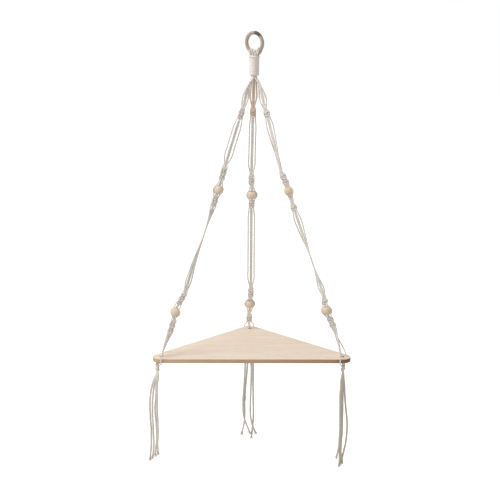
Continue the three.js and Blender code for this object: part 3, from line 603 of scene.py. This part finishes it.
def smooth_line(points, step):
    """Evenly spaced points on a smooth curve through the given ones (centripetal Catmull-Rom)."""
    points = np.array(points, float)
    ends = (2 * points[0] - points[1], 2 * points[-1] - points[-2])
    spaced = np.vstack([ends[0], points, ends[1]])
    knots = np.concatenate([[0], np.cumsum(np.sqrt(np.linalg.norm(np.diff(spaced, axis=0), axis=1)))])
    fine = []
    for i in range(1, len(spaced) - 2):
        before, start, end, after = spaced[i - 1:i + 3]
        k0, k1, k2, k3 = knots[i - 1:i + 3]
        count = max(2, math.ceil(2 * np.linalg.norm(end - start) / step))
        k = np.linspace(k1, k2, count, endpoint=False)[:, None]
        first = between(k, k0, k1, before, start)
        second = between(k, k1, k2, start, end)
        third = between(k, k2, k3, end, after)
        early = between(k, k0, k2, first, second)
        late = between(k, k1, k3, second, third)
        fine.append(between(k, k1, k2, early, late))
    fine.append(points[-1:])
    fine = np.vstack(fine)
    travelled = np.concatenate([[0], np.cumsum(np.linalg.norm(np.diff(fine, axis=0), axis=1))])
    even = np.linspace(0, travelled[-1], max(2, round(travelled[-1] / step) + 1))
    return np.column_stack([np.interp(even, travelled, fine[:, axis]) for axis in range(3)])


def skin(name, tubes, joined=False, scale=(1, 1)):
    """A mesh of tubes of rings. Each tube joins end to end, or closes with a point at each end."""
    vertices, faces, uvs = [], [], []
    for rings in tubes:
        start = sum(len(part) for part in vertices)
        count, sides = rings.shape[:2]
        ring = np.arange(count if joined else count - 1)[:, None]
        side = np.arange(sides)[None, :]
        corners = [(0, 0), (0, 1), (1, 1), (1, 0)]
        quads = [start + (ring + dr) % count * sides + (side + ds) % sides for dr, ds in corners]
        places = [
            np.stack(np.broadcast_arrays((side + ds) / sides, ring + dr), axis=-1) for dr, ds in corners
        ]
        faces += np.stack(quads, axis=-1).reshape(-1, 4).tolist()
        uvs.append(np.stack(places, axis=2).reshape(-1, 2) * scale)
        vertices.append(rings.reshape(-1, 3))
        if not joined:
            first = start + count * sides
            last_ring = first - sides
            vertices.append(np.array([rings[0].mean(axis=0), rings[-1].mean(axis=0)]))
            faces += [[first, start + (k + 1) % sides, start + k] for k in range(sides)]
            faces += [[first + 1, last_ring + k, last_ring + (k + 1) % sides] for k in range(sides)]
            uvs.append(np.zeros((6 * sides, 2)))
    mesh = bpy.data.meshes.new(name)
    mesh.from_pydata(np.vstack(vertices).tolist(), [], faces)
    mesh.uv_layers.new(name="UVMap").data.foreach_set("uv", np.vstack(uvs).astype(np.float32).ravel())
    mesh.shade_smooth()
    return add_object(name, mesh)


def rope(name, line, diameters, groove=GROOVE, phase=0.0, stretch=(1, 1, 1)):
    """A twisted cord along a line of evenly spaced points, with one diameter or one for each point."""
    tangents = np.gradient(line, axis=0)
    tangents /= np.linalg.norm(tangents, axis=1)[:, None]
    normals = np.zeros_like(line)
    normal = np.cross(tangents[0], ALONG_RING)
    for i, tangent in enumerate(tangents):
        normal = unit(normal - normal.dot(tangent) * tangent)
        normals[i] = normal
    binormals = np.cross(tangents, normals)
    travelled = ROPE_STEP * np.arange(len(line))
    corner = full_turn(ROPE_SIDES)
    angles = (2 * math.pi * travelled / LAY + phase)[:, None] + corner[None, :]
    crest = 1 - groove * (1 - np.abs(np.cos(PLIES / 2 * corner)))
    radii = np.broadcast_to(diameters, len(line)) / 2
    reach = (radii[:, None] * crest[None, :])[..., None]
    across = directions(angles, normals[:, None, :], binormals[:, None, :])
    scale = (1, ROPE_STEP / (math.pi * CORD))
    return skin(name, [line[:, None, :] + reach * across * stretch], scale=scale)


def fray(name, end, onward, random):
    """The loose fibres at the end of a cord, spreading as they go on from it."""
    side = unit(np.cross(onward, ALONG_RING))
    other = np.cross(onward, side)
    rim = directions(full_turn(FIBRE_SIDES), side, other)
    tubes = []
    for _ in range(FRAY_FIBRES):
        around = random.uniform(0, 2 * math.pi)
        away = math.sqrt(random.uniform(0, 1))
        outward = math.cos(around) * side + math.sin(around) * other
        length = FRAY_LENGTH * random.uniform(FRAY_SHORTEST_SHARE, 1)
        curl = random.uniform(-1, 1) * FIBRE
        share = np.linspace(0, 1, FIBRE_STEPS)[:, None]
        reach = away * (FRAY_CORE_SHARE * TAIL_CORD + FRAY_SPREAD * share**FRAY_FLARE)
        middle = end + (length * share - CORD_RADIUS) * onward + reach * outward
        middle = middle + curl * np.sin(2 * math.pi * share) * np.cross(outward, onward)
        width = FIBRE / 2 * (1 - FIBRE_TAPER * share)[:, None]
        tubes.append(middle[:, None, :] + width * rim[None, :, :])
    return skin(name, tubes)


def tight_stretches(strap):
    """Where a strap's cords are held tight: in the bundle, the knots and the beads, and at the board."""
    ends = [(-strap["length"], -START_DROP), (strap["length"] - START_DROP, 2 * strap["length"])]
    return ends + [extent(strap, station) for station in strap["stations"]]


def cord_diameters(line, legs):
    middle = line[:, 2].argmax()
    halves = []
    for half, strand in ((line[:middle], legs[0]), (line[middle:], legs[1])):
        strap = STRAPS[strand["strap"]]
        distances = (half - strap["foot"]) @ strap["along"]
        swells = []
        for start, end in tight_stretches(strap):
            places = (start - FREE_EASE, start, end, end + FREE_EASE)
            swells.append(np.interp(distances, places, (FREE_CORD, CORD, CORD, FREE_CORD)))
        halves.append(np.min(swells, axis=0))
    return np.concatenate(halves)


def make_cords(straps, look):
    for index, legs in enumerate(LEGS):
        ways = []
        for strand in legs:
            lead = [at_ring(along, across, WINDING_TOP + rise) for along, across, rise in strand["points"]]
            bundle = [bundle_point(strand, BUNDLE_TOP), bundle_point(strand, BUNDLE_BOTTOM)]
            ways.append([*lead, *bundle, *straps[strand["strap"]].routes[strand["role"]]])
        points = [*reversed(ways[0]), *fold_points(index), *ways[1]]
        name = f"cord_{index + 1}"
        line = smooth_line(points, ROPE_STEP)
        piece = rope(f"{name}_rope", line, cord_diameters(line, legs), phase=index)
        finish_piece(piece, look, "cotton_cord", "hanger", name)


def finish_piece(piece, look, slot, body, *nodes):
    piece.data.materials.append(look)
    if nodes:
        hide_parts(*nodes)
    if body:
        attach(piece, body)


def make_winding(look):
    points = []
    for i in range(WINDING_TURNS * WINDING_STEPS_PER_TURN + 1):
        turns = i / WINDING_STEPS_PER_TURN
        radius = WINDING_RADIUS + WINDING_SWELL + WINDING_FLARE * max(0, 1 - turns)
        height = WINDING_TOP + WINDING_PITCH * (1 - turns)
        points.append(radius * heading(WINDING_START_DEGREES + 360 * turns) + height * UP)
    lead = points[0] + CORD * unit(points[0] - points[1])
    trail = points[-1] + CORD * unit(points[-1] - points[-2])
    line = smooth_line([lead, *points, trail], ROPE_STEP)
    piece = rope("gathering_wrap_rope", line, WINDING_CORD, WINDING_GROOVE, stretch=WINDING_STRETCH)
    finish_piece(piece, look, "cotton_cord", "hanger", "gathering_wrap")


# Tassels: four tails under each corner, where the four cords of a strap run out. Each tail's points are
# chosen from the middle of the row that it hangs from.
LEFT_TAILS = [[
    (0.001, -0.005, -0.015), (-0.001, -0.005, -0.032), (-0.0015, -0.005, -0.049), (-0.0015, -0.005, -0.066),
    (-0.0015, -0.0055, -0.083), (-0.001, -0.0055, -0.1), (0.0, -0.0055, -0.115), (0.0, -0.0055, -0.132),
    (0.0005, -0.0055, -0.147), (-0.0005, -0.0055, -0.162), (-0.001, -0.0055, -0.175),
    (-0.0005, -0.0055, -0.187), (0.0, -0.0055, -0.2),
], [
    (-0.002, -0.0015, -0.016), (-0.0035, -0.0015, -0.033), (-0.004, -0.0015, -0.05),
    (-0.005, -0.002, -0.067), (-0.0065, -0.002, -0.085), (-0.006, -0.002, -0.102),
    (-0.0045, -0.002, -0.117), (-0.0035, -0.002, -0.134), (-0.003, -0.002, -0.151),
    (-0.003, -0.002, -0.166), (-0.0045, -0.002, -0.179), (-0.006, -0.002, -0.194), (-0.007, -0.002, -0.206),
], [
    (-0.0055, 0.0015, -0.017), (-0.0085, 0.0015, -0.035), (-0.0105, 0.002, -0.052), (-0.012, 0.002, -0.069),
    (-0.0125, 0.002, -0.086), (-0.0125, 0.002, -0.103), (-0.012, 0.002, -0.121), (-0.011, 0.002, -0.138),
    (-0.0105, 0.002, -0.155), (-0.01, 0.002, -0.17), (-0.0105, 0.002, -0.183), (-0.0115, 0.002, -0.198),
    (-0.0135, 0.002, -0.213),
], [
    (-0.0085, 0.005, -0.019), (-0.0135, 0.005, -0.036), (-0.0165, 0.0055, -0.053), (-0.018, 0.0055, -0.07),
    (-0.0185, 0.0055, -0.088), (-0.018, 0.0055, -0.105), (-0.0175, 0.0055, -0.122),
    (-0.016, 0.0055, -0.139), (-0.016, 0.0055, -0.157), (-0.016, 0.0055, -0.174), (-0.017, 0.0055, -0.192),
    (-0.0185, 0.0055, -0.207), (-0.02, 0.0055, -0.219),
]]
RIGHT_TAILS = [[
    (0.003, 0.005, -0.019), (0.005, 0.005, -0.036), (0.006, 0.005, -0.053), (0.0075, 0.0055, -0.07),
    (0.0095, 0.0055, -0.088), (0.0115, 0.0055, -0.105), (0.0135, 0.0055, -0.122), (0.014, 0.0055, -0.14),
    (0.0135, 0.0055, -0.157), (0.012, 0.0055, -0.175), (0.009, 0.0055, -0.192), (0.0055, 0.0055, -0.21),
    (0.004, 0.0055, -0.228),
], [
    (0.0005, 0.0015, -0.017), (0.0005, 0.0015, -0.035), (0.001, 0.002, -0.054), (0.0015, 0.002, -0.074),
    (0.002, 0.002, -0.094), (0.002, 0.002, -0.114), (0.002, 0.002, -0.133), (0.002, 0.002, -0.153),
    (0.001, 0.002, -0.171), (0.0005, 0.002, -0.188), (0.001, 0.002, -0.204), (0.002, 0.002, -0.216),
    (0.003, 0.002, -0.226),
], [
    (-0.002, -0.0015, -0.016), (-0.0025, -0.0015, -0.033), (-0.0025, -0.002, -0.053),
    (-0.0015, -0.002, -0.072), (-0.0015, -0.002, -0.092), (-0.0015, -0.002, -0.112),
    (-0.001, -0.002, -0.132), (-0.0015, -0.002, -0.152), (-0.002, -0.002, -0.172), (-0.002, -0.002, -0.189),
    (-0.0025, -0.002, -0.204), (-0.0025, -0.002, -0.219), (-0.0025, -0.002, -0.232),
], [
    (-0.004, -0.005, -0.015), (-0.0045, -0.005, -0.032), (-0.0055, -0.0055, -0.049),
    (-0.0055, -0.0055, -0.066), (-0.005, -0.0055, -0.086), (-0.0045, -0.0055, -0.106),
    (-0.004, -0.0055, -0.125), (-0.004, -0.0055, -0.145), (-0.0045, -0.0055, -0.163),
    (-0.005, -0.0055, -0.178), (-0.0065, -0.0055, -0.19), (-0.0085, -0.0055, -0.2),
    (-0.0105, -0.0055, -0.21),
]]
BACK_TAILS = [[
    (-0.0065, -0.0005, -0.018), (-0.007, -0.001, -0.042), (-0.0075, -0.0015, -0.065),
    (-0.0085, -0.0015, -0.088), (-0.0095, -0.002, -0.112), (-0.011, -0.002, -0.135),
    (-0.0115, -0.0025, -0.156), (-0.0115, -0.0025, -0.174), (-0.0095, -0.0025, -0.19),
    (-0.0055, -0.0025, -0.204), (-0.001, -0.0025, -0.216), (0.003, -0.002, -0.226),
    (0.0065, -0.0015, -0.237),
], [
    (-0.0015, 0.0, -0.019), (-0.001, 0.0005, -0.042), (-0.002, 0.001, -0.066), (-0.0035, 0.0015, -0.089),
    (-0.0055, 0.002, -0.113), (-0.007, 0.002, -0.137), (-0.0075, 0.0025, -0.158), (-0.007, 0.0025, -0.176),
    (-0.007, 0.0025, -0.192), (-0.008, 0.0025, -0.206), (-0.0095, 0.002, -0.217), (-0.012, 0.002, -0.229),
    (-0.015, 0.0015, -0.24),
], [
    (0.004, 0.0, -0.019), (0.0065, 0.0, -0.042), (0.008, -0.0005, -0.065), (0.008, -0.001, -0.088),
    (0.0075, -0.0015, -0.112), (0.007, -0.0015, -0.135), (0.0065, -0.0015, -0.156),
    (0.0065, -0.0015, -0.175), (0.0075, -0.002, -0.191), (0.0095, -0.0025, -0.204),
    (0.013, -0.0025, -0.216), (0.017, -0.0025, -0.226), (0.0205, -0.0025, -0.236),
], [
    (0.008, 0.0, -0.019), (0.0115, 0.0005, -0.042), (0.013, 0.001, -0.066), (0.013, 0.0015, -0.089),
    (0.013, 0.0015, -0.113), (0.0135, 0.0015, -0.136), (0.014, 0.0015, -0.158), (0.0145, 0.0015, -0.176),
    (0.0145, 0.002, -0.192), (0.014, 0.002, -0.205), (0.0125, 0.002, -0.219), (0.0115, 0.002, -0.235),
    (0.01, 0.002, -0.251),
]]
TAIL_POINTS = {"left": LEFT_TAILS, "right": RIGHT_TAILS, "back": BACK_TAILS}
LUMPED_TAILS = ("tail_back_1", "tail_back_2")
TAIL_JOIN = 0.0012


def make_tassels(straps, looks):
    random = np.random.default_rng(FRAY_SEED)
    for strap_name, cords in straps.items():
        for index, offsets in enumerate(TAIL_POINTS[strap_name]):
            top = cords.row[index]
            points = [top + TAIL_JOIN * UP, top - CORD * UP]
            points += [cords.row_centre + np.array(offset) for offset in offsets]
            line = smooth_line(points, ROPE_STEP)[:-round(FRAY_START / ROPE_STEP)]
            name = f"tail_{strap_name}_{index + 1}"
            travelled = ROPE_STEP * np.arange(len(line))
            diameters = CORD + (TAIL_CORD - CORD) * np.clip(travelled / TAIL_SWELL_LENGTH, 0, 1)
            if name in LUMPED_TAILS:
                diameters += LUMP_CORD * np.exp(-((line[:, 2] - LUMP_HEIGHT) / LUMP_LENGTH) ** 2)
            piece = rope(f"{name}_rope", line, diameters, TAIL_GROOVE, phase=index)
            look = looks[strap_name]
            finish_piece(piece, look, "cotton_cord", None, name)
            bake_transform(piece)
            brush = fray(f"{name}_fray", line[-1], unit(line[-1] - line[-2]), random)
            finish_piece(brush, look, "cotton_cord", f"{strap_name}_tassel")


def make_ring(look):
    stock = full_turn(RING_SIDES)
    outward = directions(full_turn(RING_SEGMENTS), ALONG_RING, UP)
    reach = RING_MID_RADIUS + RING_STOCK_RADIUS * np.cos(stock)
    rings = reach[None, :, None] * outward[:, None, :]
    rings = rings - (RING_STOCK_RADIUS * np.sin(stock))[None, :, None] * ACROSS_RING + RING_CENTRE * UP
    piece = skin("wooden_ring", [rings], joined=True, scale=(1, 1 / RING_SEGMENTS))
    finish_piece(piece, look, "ring_wood", "ring", "hanging_ring")


def make_beads(looks):
    radius = BEAD_DIAMETER / 2
    rim = math.asin((BEAD_BORE / 2 + BEAD_EASE) / radius)
    angles = np.linspace(rim, math.pi - rim, BEAD_STEPS + 1)
    outer = np.column_stack([radius * np.sin(angles), -radius * np.cos(angles)])
    wall = radius * math.cos(rim) - BEAD_EASE
    bore = np.array([[BEAD_BORE / 2, wall], [BEAD_BORE / 2, 0], [BEAD_BORE / 2, -wall]])
    profile = np.vstack([outer, bore])
    for strap_name, strap in STRAPS.items():
        along = strap["along"]
        first = unit(np.cross(along, UP))
        around = directions(full_turn(BEAD_SEGMENTS), first, np.cross(along, first))
        for station in strap["stations"]:
            if "bead" not in station:
                continue
            centre = strap_point(strap, station["centre"] * strap["length"], 0, 0)
            rings = centre + profile[:, 0][:, None, None] * around[None, :, :]
            rings = rings + profile[:, 1][:, None, None] * along
            name = f"{strap_name}_{station['bead']}_bead"
            piece = skin(f"{name}_ball", [rings[::-1]], joined=True)
            node = f"bead_{strap_name}_{station['bead']}"
            finish_piece(piece, looks[strap_name], "bead_wood", name, node)


def make_board(look):
    outline = []
    for corner, (start, end) in CORNER_HEADINGS.items():
        for degrees in np.linspace(start, end, BOARD_CORNER_STEPS + 1):
            outline.append(STRAPS[corner]["hole"] + (BOARD_CORNER_RADIUS - BOARD_EASE) * heading(degrees))
    loops = [outline]
    rim = CORD_HOLE_DIAMETER / 2 + BOARD_EASE
    ways = [heading(360 * i / CORD_HOLE_STEPS) for i in range(CORD_HOLE_STEPS)]
    for strap in STRAPS.values():
        loops.append([strap["hole"] + rim * way for way in ways])
    shape = bpy.data.curves.new("board_shape", "CURVE")
    shape.dimensions = "2D"
    shape.fill_mode = "BOTH"
    shape.extrude = BOARD_THICKNESS / 2 - BOARD_EASE
    shape.bevel_depth = BOARD_EASE
    shape.bevel_resolution = BOARD_EASE_STEPS
    for loop in loops:
        spline = shape.splines.new("POLY")
        spline.points.add(len(loop) - 1)
        for point, place in zip(spline.points, loop):
            point.co = (place[0], place[1], 0, 1)
        spline.use_cyclic_u = True
    holder = bpy.data.objects.new("board_shape", shape)
    mesh = bpy.data.meshes.new_from_object(holder)
    bpy.data.objects.remove(holder)
    mesh.name = "wooden_board"
    mesh.transform(Matrix.Translation((0, 0, BOARD_TOP - BOARD_THICKNESS / 2)))
    mesh.shade_smooth()
    mesh.set_sharp_from_angle(angle=math.radians(SHARP_DEGREES))
    finish_piece(add_object("wooden_board", mesh), look, "board_wood", "hanger", "shelf_board")


# Materials. A list of colours or tints holds a ramp's stops: a place from 0 to 1, and the colour there. A
# stretch says how finely the grain or the fibres run along each axis. A bump is a strength and a height. The
# depths and heights of the painted shade on the back strap, the board's span and its top's facing say where a
# fade starts and ends.

COTTON_ROUGHNESS = 0.95
COTTON_SHEEN = {"Sheen_Weight": 0.12, "Sheen_Roughness": 0.6}
COTTON_STRETCH = (30, 4, 1)
COTTON_FIBRES = {"Scale": 1.0, "Detail": 3, "Roughness": 0.55}
COTTON_CLOUDS = {"Scale": 45, "Detail": 2}
COTTON_CLOUD_TINTS = [(0.35, (0.95, 0.93, 0.91)), (0.6, (1, 1, 1))]
COTTON_BUMP = (0.12, 0.0001)
COTTON_COLOURS = [(0.3, (0.84, 0.775, 0.72)), (0.6, (0.92, 0.88, 0.835))]
# The tails' cotton is the cords' cotton painted darker, as shade under the board.
SHADED_TAIL_COTTON_COLOURS = [(0.3, (0.78, 0.72, 0.66)), (0.6, (0.87, 0.83, 0.78))]
# The right tassel's cotton is painted darker and browner still, as deeper shade under the board.
DEEP_SHADE_TAIL_COTTON_COLOURS = [(0.3, (0.69, 0.6, 0.51)), (0.6, (0.8, 0.73, 0.65))]
# Painted shade: a warm darker tint on the back strap's cords between the winding and the first knot.
BACK_SHADE_DEPTHS = (0.002, 0.008)
BACK_SHADE_HEIGHTS = [(-0.098, -0.106), (-0.2, -0.17)]
BACK_SHADE_TINT = (0.91, 0.78, 0.66)
WOOD_ROUGHNESS = 0.5
WOOD_WANDER = {"Scale": 1.0, "Detail": 5, "Roughness": 0.6}
WOOD_PORES = {"Scale": 6.0, "Detail": 3}
WOOD_PORE_TINTS = [(0.35, (0.93, 0.91, 0.88)), (0.55, (1, 1, 1))]
WOOD_BUMP = (0.12, 0.0002)
BEAD_STRETCH = (110, 110, 25)
BEAD_COLOURS = [(0.35, (0.72, 0.58, 0.43)), (0.62, (0.82, 0.69, 0.54))]
PINK_BEAD_COLOURS = [(0.35, (0.72, 0.56, 0.43)), (0.62, (0.82, 0.67, 0.54))]
RING_STRETCH = (6, 4, 1)
RING_COLOURS = [(0.35, (0.38, 0.29, 0.225)), (0.6, (0.53, 0.435, 0.36))]
# A painted shadow on the ring: a dark spot at its upper right.
SHADOW_SPOT_ALONG = 0.0104
SHADOW_SPOT_RISE = 0.0216
SHADOW_SPOT_RADIUS = 0.007
SHADOW_SPOT_FADE = 0.013
SHADOW_SPOT_COLOUR = (0.06, 0.035, 0.025)
BOARD_ROUGHNESS = 0.6
BOARD_STRETCH = (9, 90, 90)
BOARD_COLOURS = [(0.3, (0.84, 0.69, 0.55)), (0.62, (0.91, 0.78, 0.64))]
BOARD_SPAN = (-0.23, 0.23)
# Painted shade on the board's sides, deepening from left to right, with a near-black painted shadow at the
# right tip.
BOARD_SIDE_SHADE_TINTS = [
    (0.1, (0.74, 0.6, 0.48)), (0.5, (0.62, 0.48, 0.37)), (0.9, (0.5, 0.34, 0.24)), (0.98, (0.16, 0.1, 0.07)),
]
BOARD_TOP_FACING = (0.3, 0.8)


class Nodes:
    """A node tree whose nodes are added with their inputs."""

    def __init__(self, tree):
        self.nodes, self.links = tree.nodes, tree.links

    def put(self, values, sockets):
        """Sets each socket to its value, or links it to the socket given as its value."""
        for value, socket in zip(values, sockets):
            if isinstance(value, bpy.types.NodeSocket):
                self.links.new(value, socket)
            else:
                socket.default_value = value

    def fill(self, node, inputs):
        """Puts the values in the node's sockets of those names."""
        self.put(inputs.values(), [node.inputs[name.replace("_", " ")] for name in inputs])

    def add(self, kind, **inputs):
        node = self.nodes.new(kind)
        self.fill(node, inputs)
        return node

    def calculate(self, operation, first, second):
        node = self.add("ShaderNodeMath")
        node.operation = operation
        self.put((first, second), node.inputs)
        return node.outputs[0]

    def white_to_camera(self):
        """1 for the rays that should meet plain white: camera, glossy and transmission rays."""
        path = self.add("ShaderNodeLightPath")
        either = self.calculate("MAXIMUM", path.outputs["Is Camera Ray"], path.outputs["Is Glossy Ray"])
        return self.calculate("MAXIMUM", either, path.outputs["Is Transmission Ray"])


class Look(Nodes):
    """The node tree of a Principled material."""

    def __init__(self, name, roughness, **sockets):
        self.material = bpy.data.materials.new(name)
        self.material.use_nodes = True
        super().__init__(self.material.node_tree)
        self.shader = self.nodes["Principled BSDF"]
        self.fill(self.shader, {"Roughness": roughness, **sockets})

    def ramp(self, factor, stops):
        node = self.add("ShaderNodeValToRGB", Fac=factor)
        elements = node.color_ramp.elements
        while len(elements) < len(stops):
            elements.new(0.5)
        for element, (position, colour) in zip(elements, stops):
            element.position = position
            element.color = (*colour, 1)
        return node.outputs["Color"]

    def mix(self, factor, first, second, blend="MIX"):
        node = self.add("ShaderNodeMix")
        node.data_type = "RGBA"
        node.blend_type = blend
        self.put((factor, first, second), (node.inputs[0], node.inputs[6], node.inputs[7]))
        return node.outputs[2]

    def fade(self, value, start, end):
        """0 at the start and 1 at the end."""
        return self.add("ShaderNodeMapRange", Value=value, From_Min=start, From_Max=end).outputs[0]

    def bump(self, height, strength, distance):
        node = self.add("ShaderNodeBump", Strength=strength, Distance=distance, Height=height)
        self.links.new(node.outputs[0], self.shader.inputs["Normal"])

    def colour(self, socket):
        self.links.new(socket, self.shader.inputs["Base Color"])


def cotton_look(name, colours):
    """Cotton yarn. Painted shade darkens and warms it on the back strap between the winding and the first
    knot.
    """
    look = Look(name, COTTON_ROUGHNESS, **COTTON_SHEEN)
    place = look.add("ShaderNodeTexCoord")
    stretched = look.add("ShaderNodeMapping", Vector=place.outputs["UV"], Scale=COTTON_STRETCH)
    fibres = look.add("ShaderNodeTexNoise", Vector=stretched.outputs[0], **COTTON_FIBRES)
    cloudy = look.add("ShaderNodeTexNoise", Vector=place.outputs["Object"], **COTTON_CLOUDS)
    fine = look.ramp(fibres.outputs[0], colours)
    patches = look.ramp(cloudy.outputs[0], COTTON_CLOUD_TINTS)
    yarn = look.mix(1.0, fine, patches, "MULTIPLY")
    # Painted shade on the back strap: a warm darker tint in a band below the winding.
    axes = look.add("ShaderNodeSeparateXYZ", Vector=place.outputs["Object"])
    back_shaded = look.fade(axes.outputs["Y"], *BACK_SHADE_DEPTHS)
    for heights in BACK_SHADE_HEIGHTS:
        back_shaded = look.calculate("MULTIPLY", back_shaded, look.fade(axes.outputs["Z"], *heights))
    look.colour(look.mix(back_shaded, yarn, look.mix(1.0, yarn, (*BACK_SHADE_TINT, 1), "MULTIPLY")))
    look.bump(fibres.outputs[0], *COTTON_BUMP)
    return look.material


def wood_look(name, colours, space, stretch, roughness=WOOD_ROUGHNESS):
    """Wood with its grain along the least stretched way. Returns its look, its colour and its place node."""
    look = Look(name, roughness)
    place = look.add("ShaderNodeTexCoord")
    stretched = look.add("ShaderNodeMapping", Vector=place.outputs[space], Scale=stretch)
    wander = look.add("ShaderNodeTexNoise", Vector=stretched.outputs[0], **WOOD_WANDER)
    pores = look.add("ShaderNodeTexNoise", Vector=stretched.outputs[0], **WOOD_PORES)
    tone = look.ramp(wander.outputs[0], colours)
    streaks = look.ramp(pores.outputs[0], WOOD_PORE_TINTS)
    look.bump(pores.outputs[0], *WOOD_BUMP)
    return look, look.mix(1.0, tone, streaks, "MULTIPLY"), place


def bead_look(name, colours):
    look, grain, _ = wood_look(name, colours, "Object", BEAD_STRETCH)
    look.colour(grain)
    return look.material


def ring_look():
    """Greyish tan wood with a painted shadow, a dark spot, at the upper right of the ring."""
    look, grain, place = wood_look("ring_wood", RING_COLOURS, "UV", RING_STRETCH)
    # Painted shadow: a dark spot at the ring's upper right.
    spot = at_ring(SHADOW_SPOT_ALONG, 0, RING_CENTRE + SHADOW_SPOT_RISE)
    away = look.add("ShaderNodeVectorMath")
    away.operation = "DISTANCE"
    look.put((place.outputs["Object"], spot), away.inputs)
    clear = look.fade(away.outputs["Value"], SHADOW_SPOT_RADIUS, SHADOW_SPOT_FADE)
    look.colour(look.mix(clear, (*SHADOW_SPOT_COLOUR, 1), grain))
    return look.material


def board_look():
    """Pale wood with its grain along the board's long edge. Its sides are painted browner than its top as
    shade.
    """
    look, grain, place = wood_look("board_wood", BOARD_COLOURS, "Object", BOARD_STRETCH, BOARD_ROUGHNESS)
    facing = look.add("ShaderNodeSeparateXYZ", Vector=place.outputs["Normal"])
    axes = look.add("ShaderNodeSeparateXYZ", Vector=place.outputs["Object"])
    # Painted shade on the sides, darker towards the right.
    tints = look.ramp(look.fade(axes.outputs["X"], *BOARD_SPAN), BOARD_SIDE_SHADE_TINTS)
    browner = look.mix(1.0, grain, tints, "MULTIPLY")
    look.colour(look.mix(look.fade(facing.outputs["Z"], *BOARD_TOP_FACING), browner, grain))
    return look.material


# Floor, lamps and world

FLOOR_HEIGHT = -1.3
FLOOR_HALF_SIZE = 8.0
FLOOR_COLOUR = (0.8, 0.79, 0.78, 1)
FLOOR_GLOW = (0.8, 0.8, 0.8, 1)
SKY_COLOUR = (1, 0.99, 0.98, 1)
SKY_STRENGTH = 0.58
WHITE = (1, 1, 1, 1)
LOOK_AT = Vector((0, 0, -0.55))
KEY_DISTANCE = 2.6
KEY_WAY = Vector((-0.6, -0.25, 0.76))
KEY_SIZE = 1.6
KEY_POWER = 35
FILL_PLACE = (1.8, -1.8, 0.2)
FILL_SIZE = 1.8
FILL_POWER = 1


def make_floor():
    mesh = bpy.data.meshes.new("floor")
    size = FLOOR_HALF_SIZE
    corners = [(-size, -size, 0), (size, -size, 0), (size, size, 0), (-size, size, 0)]
    mesh.from_pydata(corners, [], [(0, 1, 2, 3)])
    floor = add_object("floor", mesh)
    floor.location.z = FLOOR_HEIGHT
    material = bpy.data.materials.new("floor")
    material.use_nodes = True
    tree = Nodes(material.node_tree)
    tree.nodes.clear()
    diffuse = tree.add("ShaderNodeBsdfDiffuse", Color=FLOOR_COLOUR)
    glow = tree.add("ShaderNodeEmission", Color=FLOOR_GLOW, Strength=tree.white_to_camera())
    both = tree.add("ShaderNodeAddShader")
    tree.put((diffuse.outputs[0], glow.outputs[0]), both.inputs)
    tree.add("ShaderNodeOutputMaterial", Surface=both.outputs[0])
    mesh.materials.append(material)


def make_world():
    world = bpy.data.worlds.new("studio")
    bpy.context.scene.world = world
    world.use_nodes = True
    tree = Nodes(world.node_tree)
    tree.nodes.clear()
    light = tree.add("ShaderNodeBackground", Color=SKY_COLOUR, Strength=SKY_STRENGTH)
    white = tree.add("ShaderNodeBackground", Color=WHITE)
    pick = tree.add("ShaderNodeMixShader")
    tree.put((tree.white_to_camera(), light.outputs[0], white.outputs[0]), pick.inputs)
    tree.add("ShaderNodeOutputWorld", Surface=pick.outputs[0])


def make_lamp(name, place, size, power):
    data = bpy.data.lights.new(name, "AREA")
    data.shape = "DISK"
    data.size = size
    data.energy = power
    lamp = add_object(name, data)
    lamp.location = place
    lamp.rotation_mode = "QUATERNION"
    lamp.rotation_quaternion = (LOOK_AT - Vector(place)).to_track_quat("-Z", "Y")


strap_cords = {name: StrapCords(strap) for name, strap in STRAPS.items()}
cotton = cotton_look("cotton_cord", COTTON_COLOURS)
# Copies of the cotton painted darker for the tassels, as shade under the board.
shaded_tail_cotton = cotton_look("shaded_tail_cotton_cord", SHADED_TAIL_COTTON_COLOURS)
# Painted deeper shade for the right tassel.
deep_shade_tail_cotton = cotton_look("deep_shade_tail_cotton_cord", DEEP_SHADE_TAIL_COTTON_COLOURS)
make_cords(strap_cords, cotton)
make_winding(cotton)
make_tassels(strap_cords, {"left": shaded_tail_cotton, "right": deep_shade_tail_cotton, "back": shaded_tail_cotton})
make_ring(ring_look())
bead_wood = bead_look("bead_wood", BEAD_COLOURS)
pink_bead_wood = bead_look("pink_bead_wood", PINK_BEAD_COLOURS)
make_beads({"left": bead_wood, "right": bead_wood, "back": pink_bead_wood})
make_board(board_look())
make_floor()
make_world()
make_lamp("key", LOOK_AT + KEY_DISTANCE * KEY_WAY, KEY_SIZE, KEY_POWER)
make_lamp("fill", FILL_PLACE, FILL_SIZE, FILL_POWER)

bpy.context.scene.view_settings.view_transform = "Standard"
